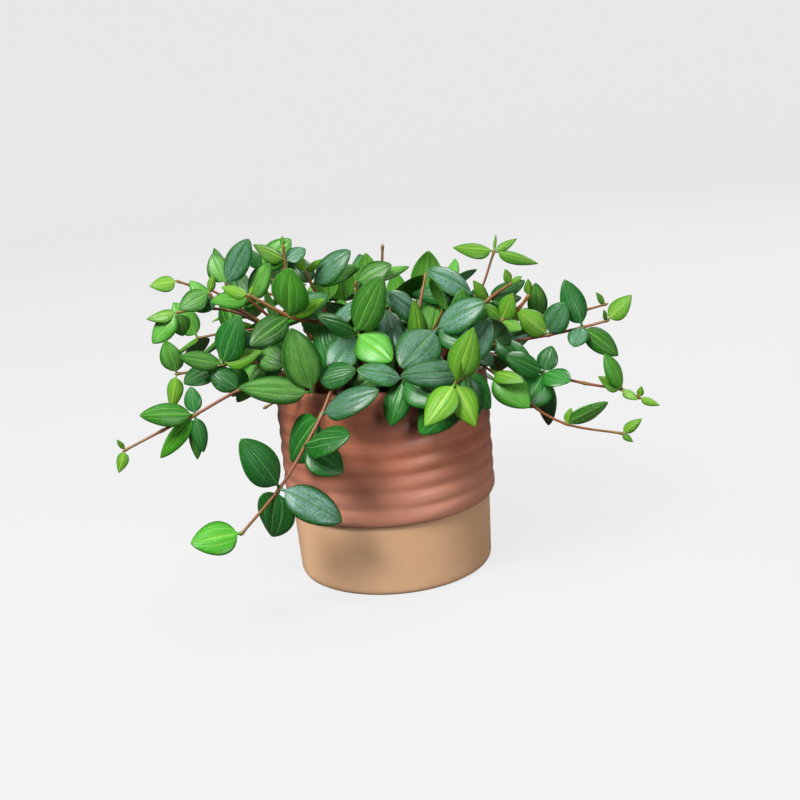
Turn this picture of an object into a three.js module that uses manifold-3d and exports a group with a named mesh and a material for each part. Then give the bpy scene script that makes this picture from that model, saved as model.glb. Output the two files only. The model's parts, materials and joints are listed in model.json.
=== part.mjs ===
// A potted peperomia: a two-tone stoneware pot, the soil that fills it, and the leafy stems that stand
// in plain holes in the soil. Millimetres, +Z up. The origin is the middle of the pot's flat foot, and
// -Y is the front. Leaf blades are solid lozenges in section, highest along the midrib.

import * as THREE from "three";
import { mergeVertices } from "three/addons/utils/BufferGeometryUtils.js";
import Module from "manifold-3d";

const wasm = await Module();
wasm.setup();

// Pot sizes
const footRadius = 57.7;
const bandRadius = 59.1;
const seamHeight = 42.4;
const glazeRadius = 62.5;
const rimRadius = 61.8;
const rimHeight = 119.2;
const lipRadius = 57.4;
const innerFootRadius = 53.5;
const floorHeight = 8.5;
const innerCornerHeight = 12;
const ribCount = 7;
const ribPitch = 9.6;
const firstRibHeight = 48.5;
const ribDepth = 0.9;
const potSides = 30;

// Soil sizes
const soilTop = 103;
const soilEdgeDrop = 1.5;
const fitGap = 0.3;
const holeDepth = 16;
const holeClearance = 0.6;
const holeSides = 5;

// Leaf and stem sizes
const petioleShare = 0.1;
const petioleRadius = 0.8;
const heelDepth = 0.5;
const leafStations = [0.1, 0.33, 0.75];
const bladeThickness = 1.3;
const roundBase = 0.5;
const stemSides = 5;
const stemTaper = 0.35;
const thinnestStem = 0.75;
const budLength = 1.8;
const stemStep = 2.5;
const longSpan = 12;

// Room that leaves and stems keep from each other
const leafGap = 1.8;
const outlineMargin = 0.5;
const stemLeafGap = 1.0;
const stemStemGap = 0.5;
const potGap = 1.6;
const wallInner = 56.5;
const jointClear = 6;

// The light that the front leaves turn their faces to
const frontLight = new THREE.Vector3(0, -0.75, 0.66);
const upward = new THREE.Vector3(0, 0, 1);

// How each age of leaf is shaped: the turn of its arch from base to tip in radians, how far its edges
// hang below the midrib as a share of the half width, and how drawn out its tip is
const deep = { bend: 0.7, cup: 0.3, point: 0.74 };
const green = { bend: 0.6, cup: 0.25, point: 0.78 };
const silver = { bend: 0.65, cup: 0.22, point: 0.68 };
const young = { bend: 0.45, cup: 0.35, point: 0.95 };

// The stems seen from the front. Each row is a name, the thickness at the soil as a radius, the place
// in the soil, the joints that the stem passes, and its leaves: which joint a leaf grows from, how far
// its tip reaches from there along X, Y and Z, its breadth, its age, and its turn about its own length
// in degrees.
const laidStems = [
  ["trail_front_left", 1.3, [-14, -38], [[-18, -47, 121], [-25, -59, 125], [-33, -68, 112],
     [-43, -76, 98], [-58, -84, 79], [-80, -90, 58]], [
    [3, 32, -10, 13, 20, silver, 0], [3, -20, 14, -28, 25, deep, 0], [4, 25, -20, 9, 22, deep, 0],
    [4, 22, 2, -11, 20, deep, 0], [5, -16, -8, 31, 20, deep, 0], [5, 31, -8, -19, 20, silver, 0],
    [5, -8, 6, -29, 24, deep, 0], [6, -26, -8, 0, 20, green, 0], [1, 24, 0, 9, 15, deep, 0],
    [1, -20, 2, 9, 14, deep, 0]]],
  ["shoot_front_right", 1.2, [36, -33], [[38, -40, 121], [44, -53, 129], [46, -68, 128],
     [38, -84, 127]], [
    [4, -18, -10, -19, 17, young, 0], [4, 9, -8, -22, 16, young, 0], [4, 11, -4, 29, 17, young, 0],
    [4, 3, -9, 13, 4, young, 0], [3, -36, -12, 4, 16, silver, 0], [3, -28, -2, -31, 26, deep, 0],
    [3, -1, -1, -28, 17, deep, 0], [3, 13, 5, -23, 15, deep, 0],
    [2, 17, -2, 23, 18, silver, 0]]],
  ["front_centre", 1.2, [14, -22], [[24, -38, 130], [32, -52, 149]], [
    [2, -21, -18, -15, 24, silver, 0], [2, 26, -10, 14, 20, silver, 0], [2, 18, -6, -12, 16, deep, 0],
    [1, -2, -10, 34, 12, young, 0]]],
  ["front_rim", 1.1, [6, -40], [[10, -56, 124], [12, -64, 126]], [
    [2, -9, -9, -22, 15, deep, 0], [2, -24, -4, 9, 16, silver, 0], [2, 18, -8, -19, 20, deep, 0]]],
  ["rim_right_front", 1.1, [42, -27], [[44, -32, 120], [52, -41, 127], [61, -48, 122]], [
    [3, 17, -14, -18, 19, green, 0], [3, 4, -17, -13, 12, young, 0]]],
  ["runner_right_low", 1.1, [51, -4], [[54, -9, 121], [64, -18, 125], [90, -36, 116],
     [112, -40, 109], [132, -42, 104], [141, -44, 99]], [
    [3, -24, -14, 11, 15, deep, 0], [3, -13, -10, -16, 22, deep, 0], [3, 12, -14, -3, 16, deep, 0],
    [3, 6, 4, 14, 12, deep, 0], [3, 3, -4, -32, 15, deep, 60], [5, -10, -4, 22, 13, green, 0],
    [5, -12, -8, 7, 9, young, 0], [5, 7, -4, -8, 6, young, 0], [6, 11, -2, -5, 5, young, 0],
    [6, 1, -2, 7, 4, young, 0]]],
  ["runner_right_lowest", 1.1, [50, -16], [[51, -19, 120], [61, -31, 127], [78, -50, 105],
     [98, -58, 92], [127, -62, 85]], [
    [4, 24, -7, 5, 13, green, 60], [4, 3, 0, 9, 5, young, 0], [5, 11, -2, 8, 6, young, 0],
    [5, 7, -2, -3, 4, young, 0]]],
  ["runner_right_high", 1.2, [36, 10], [[52, 4, 124], [68, -2, 127], [98, -8, 131],
     [117, -10, 134], [131, -12, 137]], [
    [3, 9, -6, 19, 16, silver, 0], [3, -16, -4, 18, 15, young, 0], [2, 32, -8, -2, 15, silver, 0],
    [4, -13, -4, 26, 15, deep, 0], [4, -11, -10, -8, 12, silver, 0], [4, 19, -6, -17, 14, green, 0],
    [5, 14, -2, 14, 12, young, 0], [5, -2, -4, 7, 4, young, 0]]],
  ["twig_right_high", 0.9, [28, 26], [[60, 26, 128], [97, 20, 134], [125, 16, 139], [136, 16, 141]], [
    [2, -2, -6, 24, 12, green, 0], [4, -6, -2, 8, 5, young, 0]]],
  ["thick_right_a", 1.5, [26, -4], [[44, -14, 130], [70, -24, 145], [79, -26, 151], [85, -28, 158]], [
    [2, 11, -10, -4, 9, young, 0], [2, -9, -4, 11, 8, young, 0], [2, 5, -4, 17, 12, young, 0],
    [4, 0, -2, 10, 5, young, 0]]],
  ["thick_right_b", 1.5, [20, 8], [[42, 2, 134], [65, -2, 153], [78, -6, 162]], [
    [3, -3, -2, 9, 6, young, 0], [3, 6, -2, 5, 4, young, 0], [2, -8, -4, 13, 7, young, 0],
    [2, 23, 8, 8, 12, deep, 0], [2, 20, 6, 2, 12, green, 0]]],
  ["thin_right_c", 1.0, [16, 16], [[42, 14, 132], [61, 12, 154], [72, 14, 178]], [
    [3, -24, -4, 5, 12, young, 20], [3, 25, -2, -9, 9, young, 0], [3, 14, 2, 6, 6, young, 0],
    [3, 2, 2, 10, 2, young, 0]]],
  ["top_middle", 1.2, [8, 12], [[34, 8, 130], [58, 2, 155]], [
    [2, -27, -6, 19, 19, silver, 0], [2, -36, 6, 4, 14, deep, 0]]],
  ["silver_centre", 1.2, [2, -6], [[14, -20, 132], [25, -30, 150]], [
    [2, -19, -14, 16, 17, silver, 0], [2, -17, 4, 19, 15, silver, 0]]],
  ["top_centre", 1.2, [-4, 6], [[-8, -2, 140], [-9, -10, 171]], [
    [2, 21, -4, 9, 16, green, 0], [2, 31, 8, 5, 11, green, 0]]],
  ["thick_left", 1.5, [-8, -12], [[-4, -30, 134], [-11, -40, 148], [-30, -44, 157],
     [-45, -46, 162], [-65, -50, 176]], [
    [2, 17, -12, 32, 20, green, 0], [2, 18, -18, -13, 21, green, 0], [2, -16, -14, -17, 19, silver, 0],
    [2, -28, -14, 7, 15, deep, 0], [4, 0, -14, 29, 22, green, 0], [4, 18, -12, 7, 9, young, 0],
    [4, -22, -14, -11, 16, green, 0], [4, 21, 6, 9, 16, silver, 0], [5, -14, -2, 6, 8, young, 0],
    [5, 3, -2, 5, 3, young, 0]]],
  ["rim_front_left", 1.2, [-28, -34], [[-32, -43, 122], [-35, -53, 126], [-37, -61, 123]], [
    [3, -7, -6, 37, 21, green, 0], [3, -38, -6, 8, 16, green, 0]]],
  ["upper_left", 1.2, [-30, 4], [[-48, -4, 140], [-69, -14, 168], [-80, -18, 178]], [
    [3, 16, -4, 24, 15, silver, 0], [3, -5, -2, 18, 14, green, 0], [2, 15, -8, 20, 15, green, 0],
    [2, -22, -8, -2, 13, green, 0], [3, -6, 14, 19, 8, green, 0]]],
  ["upper_left_back", 1.1, [-22, 8], [[-38, 6, 140], [-52, 2, 169], [-62, 6, 181]], [
    [3, 19, -2, 16, 16, green, 0], [3, -7, 2, 12, 9, deep, 0]]],
  ["upper_left_shoot", 1.0, [-20, -2], [[-34, -8, 140], [-47, -14, 171], [-47, -12, 187],
     [-47, -12, 195]], [
    [3, -17, -8, 9, 11, young, 0], [3, -11, 6, 3, 10, silver, 0], [3, 12, 4, 5, 12, silver, 0],
    [4, 0, 0, 6, 3, young, 0]]],
  ["upper_mid_left", 1.1, [-12, 18], [[-24, 10, 140], [-34, 2, 170], [-37, 2, 178]], [
    [3, -4, -6, 12, 7, young, 0], [3, 10, -4, 7, 5, young, 0], [2, 24, -4, 18, 18, silver, 0],
    [2, -11, 8, 21, 14, deep, 0], [2, 29, 6, 8, 12, green, 0]]],
  ["far_left", 1.1, [-36, -2], [[-54, -8, 136], [-66, -14, 156], [-85, -18, 168], [-90, -18, 174]], [
    [4, -17, -6, -6, 14, green, 0], [4, 4, -2, 11, 5, young, 0], [3, -18, 8, -3, 12, deep, 0]]],
  ["far_left_low", 1.0, [-38, 6], [[-56, 2, 138], [-71, -6, 156], [-90, -10, 164], [-110, -12, 164]], [
    [4, -18, 0, -2, 10, young, 0], [4, -18, -6, -13, 15, green, 0], [4, 1, -2, -14, 12, green, 0],
    [3, -12, 6, 16, 10, green, 0]]],
  ["left_mid", 1.2, [-38, -14], [[-48, -26, 134], [-66, -36, 142], [-85, -40, 138]], [
    [3, -22, -6, 8, 11, green, 0], [3, 13, -6, 27, 19, deep, 0], [3, 18, -10, 12, 12, young, 0],
    [2, 16, -12, -6, 15, green, 0], [3, -5, -2, 14, 6, young, 0], [3, -9, 0, 10, 4, young, 0]]],
  ["left_low", 1.2, [-42, -8], [[-52, -18, 128], [-78, -26, 135], [-91, -28, 134], [-112, -30, 133]], [
    [4, -3, -4, 20, 13, green, 0], [4, -6, -2, -20, 10, young, 0], [3, -17, -6, -11, 14, deep, 0],
    [2, -5, -4, -18, 15, deep, 0]]],
  ["trail_left", 1.2, [-42, -22], [[-45, -26, 121], [-54, -33, 126], [-77, -44, 124],
     [-102, -50, 114], [-120, -54, 108], [-141, -58, 100]], [
    [3, -20, 4, 4, 14, deep, 0], [4, 2, -2, -21, 9, deep, 0], [4, -28, -10, 5, 14, green, 0],
    [4, -19, -4, -27, 12, green, 0], [4, 4, 2, -27, 9, green, 0], [6, -5, -2, -12, 7, young, 0],
    [6, -3, -2, 7, 3, young, 0], [4, -1, 4, 15, 10, deep, 0]]],
  ["twig_far_left", 0.8, [-44, 8], [[-62, 9, 142], [-86, 6, 168], [-103, 4, 176], [-110, 4, 179]], [
    [4, -16, -3, -1, 11, young, 0]]],
  ["cut_stub_left", 1.0, [-34, -20], [[-36, -34, 120.5], [-40, -42, 122.5], [-50, -46, 120],
     [-64, -47, 113.8]], []],
  ["cut_stem_back", 1.2, [0, 23], [[4, 17, 150], [8, 12, 187]], []],
  ["cut_stem_front", 1.2, [15, -9], [[21, -19, 140], [25, -24, 157], [30, -18, 173]], []],
];

// The stems at the back, under the canopy and in the crown follow a rule. Each group fans its stems
// over a range of bearings (degrees from +X), sets them in the soil at the listed radii in turn, and
// draws the rest within ranges. The form gives the share of the way outwards and of the climb at each
// joint, and the last joint droops on top of that.
const stemGroups = [
  {
    name: "back", count: 11, firstBearing: 18, bearingStep: 14.4, wobble: 4, thickness: 1.15,
    soilRadii: [42, 30, 36], reach: [84, 114], crest: [[124, 138], [136, 154], [136, 154], [150, 168]],
    droop: [[12, 36], [0, 14]], form: [[0.14, 0.68], [0.36, 0.96], [0.7, 1], [1, 1]], whorls: [3, 2, 3],
    ages: [silver, green, deep, green], youngTip: 0.4,
  },
  {
    name: "under", count: 4, firstBearing: 198, bearingStep: 46, wobble: 5, thickness: 1.15,
    soilRadii: [34, 28, 26, 30], reach: [62, 72], crest: [[128, 137]],
    droop: [[0, 2]], form: [[0.2, 0.55], [0.55, 0.9], [1, 1]], whorls: [3, 3],
    ages: [deep, silver, green], youngTip: 0,
  },
  {
    name: "crown", count: 6, firstBearing: 60, bearingStep: 137, wobble: 12, thickness: 1.2,
    soilRadii: [6, 30, 22, 12, 26, 30], reach: [14, 42], crest: [[140, 152]],
    droop: [[0, 3]], form: [[0.1, 0.3], [0.5, 0.65], [1, 1]], whorls: [3, 3],
    ages: [deep, silver, green], youngTip: 0,
  },
];
const stemSeed = 20;
const naturalTurn = 15;
const drawsPerStem = 60;

// Even random numbers from 0 to 1 that come out the same every time
let seedValue = stemSeed;
function random() {
  seedValue = (seedValue * 16807) % 2147483647;
  return seedValue / 2147483647;
}

function draw(low, high) {
  return low + (high - low) * random();
}

function vector(values) {
  return new THREE.Vector3(values[0], values[1], values[2]);
}

// Closed solids from rings of points
function pushFan(triangles, ring, tip, outwards) {
  for (let i = 0; i < ring.length; i += 1) {
    const next = ring[(i + 1) % ring.length];
    triangles.push(outwards ? [ring[i], next, tip] : [next, ring[i], tip]);
  }
}

function skin(rings) {
  const triangles = [];
  const first = rings[0];
  for (let i = 1; i + 1 < first.length; i += 1) {
    triangles.push([first[0], first[i + 1], first[i]]);
  }
  for (let k = 0; k + 1 < rings.length; k += 1) {
    const near = rings[k];
    const far = rings[k + 1];
    if (far.length === 1) {
      pushFan(triangles, near, far[0], true);
    } else if (near.length === 1) {
      pushFan(triangles, far, near[0], false);
    } else {
      for (let i = 0; i < near.length; i += 1) {
        const j = (i + 1) % near.length;
        triangles.push([near[i], near[j], far[j]], [near[i], far[j], far[i]]);
      }
    }
  }
  const geometry = new THREE.BufferGeometry();
  const places = triangles.flat().flatMap((point) => [point.x, point.y, point.z]);
  geometry.setAttribute("position", new THREE.Float32BufferAttribute(places, 3));
  return geometry;
}

function toSolid(geometry) {
  const bare = geometry.clone();
  bare.deleteAttribute("normal");
  bare.deleteAttribute("uv");
  const merged = mergeVertices(bare, 1e-4);
  return new wasm.Manifold(new wasm.Mesh({
    numProp: 3,
    vertProperties: new Float32Array(merged.attributes.position.array),
    triVerts: new Uint32Array(merged.index.array),
  }));
}

function toGeometry(solid) {
  const mesh = solid.getMesh();
  const geometry = new THREE.BufferGeometry();
  geometry.setAttribute("position", new THREE.Float32BufferAttribute(mesh.vertProperties, 3));
  geometry.setIndex(Array.from(mesh.triVerts));
  return geometry;
}

function revolved(profile, sides) {
  const points = profile.map(([radius, height]) => new THREE.Vector2(radius, height));
  const geometry = new THREE.LatheGeometry(points, sides);
  geometry.rotateX(Math.PI / 2);
  return geometry;
}

// Pot: a bare band below the seam, then a thicker glazed wall with throwing ribs up to a rounded rim
function innerRadius(height) {
  const share = (height - innerCornerHeight) / (rimHeight - 2.4 - innerCornerHeight);
  return innerFootRadius + (lipRadius - innerFootRadius) * share;
}

function makePot() {
  const profile = [
    [0, 0], [footRadius - 3, 0], [footRadius - 0.8, 0.9], [footRadius, 3],
    [bandRadius, seamHeight], [bandRadius + 1.6, seamHeight + 0.6], [glazeRadius - 0.6, seamHeight + 2.6],
  ];
  for (let rib = 0; rib < ribCount; rib += 1) {
    const height = firstRibHeight + rib * ribPitch;
    const crest = glazeRadius + (rimRadius - glazeRadius) * (rib / ribCount);
    profile.push([crest, height], [crest - ribDepth, height + ribPitch / 2]);
  }
  profile.push(
    [rimRadius, rimHeight - 2.4], [rimRadius - 0.8, rimHeight - 0.5], [rimRadius - 2.2, rimHeight],
    [lipRadius + 0.9, rimHeight - 0.6], [lipRadius, rimHeight - 2.4],
    [innerFootRadius, innerCornerHeight], [innerFootRadius - 3.5, floorHeight], [0, floorHeight],
  );
  return revolved(profile, potSides);
}

// Soil: fills the pot to a little below the rim, with a plain hole for each stem
function makeSoil(stems) {
  const edgeHeight = soilTop - soilEdgeDrop;
  let soil = toSolid(revolved([
    [0, floorHeight + fitGap], [innerFootRadius - 3.7, floorHeight + fitGap],
    [innerFootRadius - fitGap, innerCornerHeight + fitGap],
    [innerRadius(edgeHeight) - fitGap, edgeHeight], [50, soilTop], [0, soilTop],
  ], potSides));
  for (const stem of stems) {
    const hole = new THREE.CylinderGeometry(
      stem.thickness + holeClearance, stem.thickness + holeClearance, holeDepth * 2, holeSides,
    );
    hole.rotateX(Math.PI / 2);
    hole.translate(stem.root[0], stem.root[1], soilTop);
    soil = soil.subtract(toSolid(hole));
  }
  return toGeometry(soil);
}

// Stems: a smooth curve through the root and the joints
function curvePoint(before, start, end, after, t) {
  const place = [0, 0, 0];
  for (let axis = 0; axis < 3; axis += 1) {
    const a = before[axis];
    const b = start[axis];
    const c = end[axis];
    const d = after[axis];
    place[axis] = 0.5 * (2 * b + (c - a) * t + (2 * a - 5 * b + 4 * c - d) * t * t
      + (3 * b - a - 3 * c + d) * t * t * t);
  }
  return place;
}

function newStem(name, thickness, root, joints) {
  const foot = [root[0], root[1], soilTop - holeDepth + 1];
  const collar = [root[0], root[1], soilTop];
  const knots = [foot, collar, ...joints];
  const last = knots.length - 1;
  knots.push(knots[last].map((value, axis) => 2 * value - knots[last - 1][axis]));
  const spans = [];
  for (let k = 1; k + 2 < knots.length; k += 1) {
    spans.push((t) => curvePoint(knots[k - 1], knots[k], knots[k + 1], knots[k + 2], t));
  }
  const line = [foot];
  spans.forEach((span, k) => {
    const length = vector(knots[k + 1]).distanceTo(vector(knots[k + 2]));
    const steps = Math.ceil(length / stemStep);
    for (let step = 0; step < steps; step += 1) {
      line.push(span(step / steps));
    }
  });
  line.push(joints[joints.length - 1]);
  return { name, thickness, root, foot, joints, spans, line };
}

function stemForward(stem, joint) {
  const ahead = joint < stem.joints.length ? stem.spans[joint](0.1) : stem.joints[joint - 1];
  const behind = stem.spans[joint - 1](0.9);
  return vector(ahead).sub(vector(behind)).normalize();
}

function stemsApart(stem, others) {
  for (const other of others) {
    const room = stem.thickness + other.thickness + stemStemGap;
    for (const a of stem.line) {
      for (const b of other.line) {
        const dx = a[0] - b[0];
        const dy = a[1] - b[1];
        const dz = a[2] - b[2];
        if (dx * dx + dy * dy + dz * dz < room * room) {
          return false;
        }
      }
    }
  }
  return true;
}

function stemClearsPot(stem) {
  const room = stem.thickness + 0.4;
  return stem.line.every(([x, y, z]) => {
    const radius = Math.hypot(x, y);
    return radius < wallInner - room || radius > glazeRadius + room || z > rimHeight + room;
  });
}

// Leaves: a midrib that arches from the joint to the tip, and a blade to each side of it
function halfWidth(leaf, along) {
  const u = (along - petioleShare) / (1 - petioleShare);
  if (u <= 0) {
    return petioleRadius;
  }
  const point = leaf.age.point;
  const fullest = roundBase / (roundBase + point);
  const peak = fullest ** roundBase * (1 - fullest) ** point;
  const swell = u ** roundBase * Math.max(0, 1 - u) ** point;
  return 0.5 * leaf.breadth * (swell / peak);
}

function leafPlace(leaf, along, across, lift) {
  const angle = leaf.age.bend * (along - 0.5);
  const half = leaf.age.bend / 2;
  const scale = leaf.length / (2 * Math.sin(half));
  const width = halfWidth(leaf, along);
  const drop = lift - leaf.age.cup * width * across * across;
  const forward = scale * (Math.sin(angle) + Math.sin(half)) + drop * Math.sin(angle);
  const rise = scale * (Math.cos(angle) - Math.cos(half)) + drop * Math.cos(angle);
  return leaf.base.clone()
    .addScaledVector(leaf.chord, forward)
    .addScaledVector(leaf.face, rise)
    .addScaledVector(leaf.side, width * across);
}

function newLeaf(base, direction, length, light, breadth, age, turn, stem, joint) {
  const chord = direction.clone();
  const face = light.clone().addScaledVector(chord, -light.dot(chord)).normalize();
  const side = chord.clone().cross(face);
  const angle = THREE.MathUtils.degToRad(turn);
  const turnedFace = face.clone().multiplyScalar(Math.cos(angle)).addScaledVector(side, Math.sin(angle));
  const leaf = { base, chord, face: turnedFace, length, breadth, age, stem, joint, samples: [] };
  leaf.side = chord.clone().cross(turnedFace);
  for (let k = 0; k <= 10; k += 1) {
    const along = 0.14 + 0.086 * k;
    for (let m = -3; m <= 3; m += 1) {
      leaf.samples.push({ along, place: leafPlace(leaf, along, m / 3, 0) });
    }
  }
  leaf.centre = leafPlace(leaf, 0.5, 0, 0);
  return leaf;
}

function leafMeets(leaf, place, gap, margin) {
  const dx = place.x - leaf.base.x;
  const dy = place.y - leaf.base.y;
  const dz = place.z - leaf.base.z;
  const forward = dx * leaf.chord.x + dy * leaf.chord.y + dz * leaf.chord.z;
  if (forward < -0.5 || forward > leaf.length + 1) {
    return false;
  }
  const across = Math.abs(dx * leaf.side.x + dy * leaf.side.y + dz * leaf.side.z);
  const half = leaf.age.bend / 2;
  const scale = leaf.length / (2 * Math.sin(half));
  const sine = THREE.MathUtils.clamp(forward / scale - Math.sin(half), -1, 1);
  const angle = Math.asin(sine);
  const width = halfWidth(leaf, Math.min(1, angle / leaf.age.bend + 0.5));
  if (across > width + margin) {
    return false;
  }
  const height = dx * leaf.face.x + dy * leaf.face.y + dz * leaf.face.z;
  const inside = Math.min(across, width);
  const surface = scale * (Math.cos(angle) - Math.cos(half))
    - leaf.age.cup * inside * inside / Math.max(width, 0.3);
  return Math.abs(height - surface) < gap;
}

function leafClearsPot(leaf) {
  return leaf.samples.every(({ place }) => {
    const radius = Math.hypot(place.x, place.y);
    const inWall = radius > wallInner - potGap && radius < glazeRadius + potGap && place.z < rimHeight + potGap;
    const inSoil = radius < wallInner && place.z < soilTop + potGap;
    return !inWall && !inSoil && place.z > potGap;
  });
}

function leafClearsStems(leaf, stems) {
  for (const stem of stems) {
    const room = stem.thickness + stemLeafGap;
    for (const [x, y, z] of stem.line) {
      const place = new THREE.Vector3(x, y, z);
      const near = place.distanceTo(leaf.centre) < leaf.length * 0.62 + 3;
      const atJoint = stem === leaf.stem && place.distanceTo(leaf.base) < jointClear;
      if (near && !atJoint && leafMeets(leaf, place, room, stem.thickness + outlineMargin)) {
        return false;
      }
    }
  }
  return true;
}

function leavesApart(leaf, other) {
  if (leaf.centre.distanceTo(other.centre) > (leaf.length + other.length) * 0.55 + 2) {
    return true;
  }
  let from = 0;
  if (leaf.stem === other.stem) {
    from = leaf.joint === other.joint ? 0.4 : 0.2;
  }
  const clear = (samples, blade) => samples.every(
    ({ along, place }) => along < from || !leafMeets(blade, place, leafGap, outlineMargin),
  );
  return clear(leaf.samples, other) && clear(other.samples, leaf);
}

// A leaf that would cross its neighbours bends clear of them, in widening rings about the way it was
// laid, then a little smaller, and is left off where there is no room at all
const bendRings = [
  { size: 1, angles: [0, 8, 16, 26, 38] },
  { size: 0.85, angles: [0, 18, 36] },
  { size: 0.7, angles: [0, 18, 36] },
];
const bendWays = 6;

function placeLeaf(stems, leaves, wish) {
  const base = vector(wish.stem.joints[wish.joint - 1]);
  const length = wish.reach.length();
  const chord = wish.reach.clone().normalize();
  const face = wish.light.clone().addScaledVector(chord, -wish.light.dot(chord)).normalize();
  const side = chord.clone().cross(face);
  for (const { size, angles } of bendRings) {
    for (const degrees of angles) {
      const angle = THREE.MathUtils.degToRad(degrees);
      for (let way = 0; way < (degrees === 0 ? 1 : bendWays); way += 1) {
        const around = way * 2 * Math.PI / bendWays;
        const direction = chord.clone().multiplyScalar(Math.cos(angle))
          .addScaledVector(face, Math.cos(around) * Math.sin(angle))
          .addScaledVector(side, Math.sin(around) * Math.sin(angle));
        const leaf = newLeaf(
          base, direction, length * size, wish.light, wish.breadth * size, wish.age, wish.turn,
          wish.stem, wish.joint,
        );
        if (leafClearsPot(leaf) && leafClearsStems(leaf, stems)
          && leaves.every((other) => leavesApart(leaf, other))) {
          leaves.push(leaf);
          return;
        }
      }
    }
  }
}

// The rule that draws the stems of a group, and the whorls of leaves at their joints
function groupStem(group, index) {
  const wobble = draw(-group.wobble, group.wobble);
  const bearing = THREE.MathUtils.degToRad(group.firstBearing + group.bearingStep * index + wobble);
  const reach = draw(...group.reach);
  const half = index < group.count / 2 ? 0 : 2;
  const crest = draw(...group.crest[(index % 2 + half) % group.crest.length]);
  const flat = index % 2 || index < 2 || index > 8 ? 1 : 0;
  const droop = draw(...group.droop[flat % group.droop.length]);
  const sweep = draw(-0.18, 0.18);
  const start = group.soilRadii[index % group.soilRadii.length];
  const place = (out, up, joint) => {
    const radius = start + (reach - start) * out;
    const turn = bearing + sweep * joint / (group.form.length + 1);
    return [radius * Math.cos(turn), radius * Math.sin(turn), soilTop + (crest - soilTop) * up];
  };
  const joints = group.form.map(([out, up], k) => place(out, up, k + 1));
  joints[joints.length - 1][2] -= droop;
  const stem = newStem(`${group.name}_${index + 1}`, group.thickness, place(0, 0, 0).slice(0, 2), joints);
  stem.outward = new THREE.Vector3(Math.cos(bearing), Math.sin(bearing), 0);
  return stem;
}

function groupLeaves(group, stem) {
  const wishes = [];
  const firstWhorl = stem.joints.length - group.whorls.length;
  group.whorls.forEach((count, whorl) => {
    const joint = firstWhorl + whorl + 1;
    const last = joint === stem.joints.length;
    const forward = stemForward(stem, joint);
    const up = upward.clone().addScaledVector(forward, -forward.z).normalize();
    const side = forward.clone().cross(up);
    const twist = (whorl % 2 ? Math.PI / 6 : Math.PI / 2) + draw(-0.3, 0.3);
    for (let m = 0; m < count; m += 1) {
      const around = twist + m * 2 * Math.PI / count;
      const length = draw(27, 37) * (last ? 0.86 : 1);
      const ahead = draw(0.25, 0.7);
      const reach = side.clone().multiplyScalar(Math.cos(around)).addScaledVector(up, Math.sin(around))
        .addScaledVector(forward, ahead).addScaledVector(upward, 0.12).normalize().multiplyScalar(length);
      let age = group.ages[Math.floor(random() * group.ages.length)];
      if (last && random() < group.youngTip) {
        age = young;
      }
      wishes.push({ stem, joint, reach, breadth: length * draw(0.52, 0.64), age, turn: draw(-10, 10) });
    }
  });
  return wishes;
}

function layOut() {
  const stems = laidStems.map(([name, thickness, root, joints]) => newStem(name, thickness, root, joints));
  const wishes = [];
  laidStems.forEach((row, k) => {
    for (const [joint, x, y, z, breadth, age, turn] of row[4]) {
      const reach = new THREE.Vector3(x, y, z);
      const turned = turn + draw(-naturalTurn, naturalTurn);
      wishes.push({ stem: stems[k], joint, reach, breadth, age, turn: turned, light: frontLight });
    }
  });
  for (const group of stemGroups) {
    for (let index = 0; index < group.count; index += 1) {
      let stem = groupStem(group, index);
      for (let tries = 1; tries < drawsPerStem && !(stemsApart(stem, stems) && stemClearsPot(stem)); tries += 1) {
        stem = groupStem(group, index);
      }
      stems.push(stem);
      const light = group.name === "under"
        ? frontLight.clone().multiplyScalar(0.8).addScaledVector(stem.outward, 0.3)
        : stem.outward.clone().multiplyScalar(0.5).addScaledVector(upward, 0.85);
      for (const wish of groupLeaves(group, stem)) {
        wishes.push({ ...wish, light });
      }
    }
  }
  const leaves = [];
  for (const wish of wishes) {
    placeLeaf(stems, leaves, wish);
  }
  return { stems, leaves };
}

// The solids of one stem and its leaves, fused
function stemSolid(stem) {
  const places = [stem.foot];
  for (const span of stem.spans) {
    places.push(span(0));
    if (vector(span(0)).distanceTo(vector(span(1))) > longSpan) {
      places.push(span(0.5));
    }
  }
  const tip = vector(stem.joints[stem.joints.length - 1]);
  places.push(tip.toArray());
  const points = places.map(vector);
  const rings = [];
  let across = new THREE.Vector3(1, 0, 0);
  points.forEach((point, k) => {
    const forward = points[Math.min(k + 1, points.length - 1)].clone()
      .sub(points[Math.max(k - 1, 0)]).normalize();
    if (k === 0 || k === 1) {
      forward.set(0, 0, 1);
    }
    across = across.clone().addScaledVector(forward, -across.dot(forward)).normalize();
    const other = forward.clone().cross(across);
    const radius = Math.max(thinnestStem, stem.thickness * (1 - stemTaper * k / points.length));
    const ring = [];
    for (let i = 0; i < stemSides; i += 1) {
      const angle = i * 2 * Math.PI / stemSides;
      ring.push(point.clone().addScaledVector(across, radius * Math.cos(angle))
        .addScaledVector(other, radius * Math.sin(angle)));
    }
    rings.push(ring);
  });
  rings.push([tip.addScaledVector(stemForward(stem, stem.joints.length), budLength)]);
  return toSolid(skin(rings));
}

function leafSolid(leaf) {
  const half = bladeThickness / 2;
  const ring = (along) => [
    leafPlace(leaf, along, -1, 0), leafPlace(leaf, along, 0, half),
    leafPlace(leaf, along, 1, 0), leafPlace(leaf, along, 0, -half),
  ];
  const heel = leaf.base.clone().addScaledVector(leaf.chord, -heelDepth);
  return toSolid(skin([[heel], ...leafStations.map(ring), [leafPlace(leaf, 1, 0, 0)]]));
}

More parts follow.
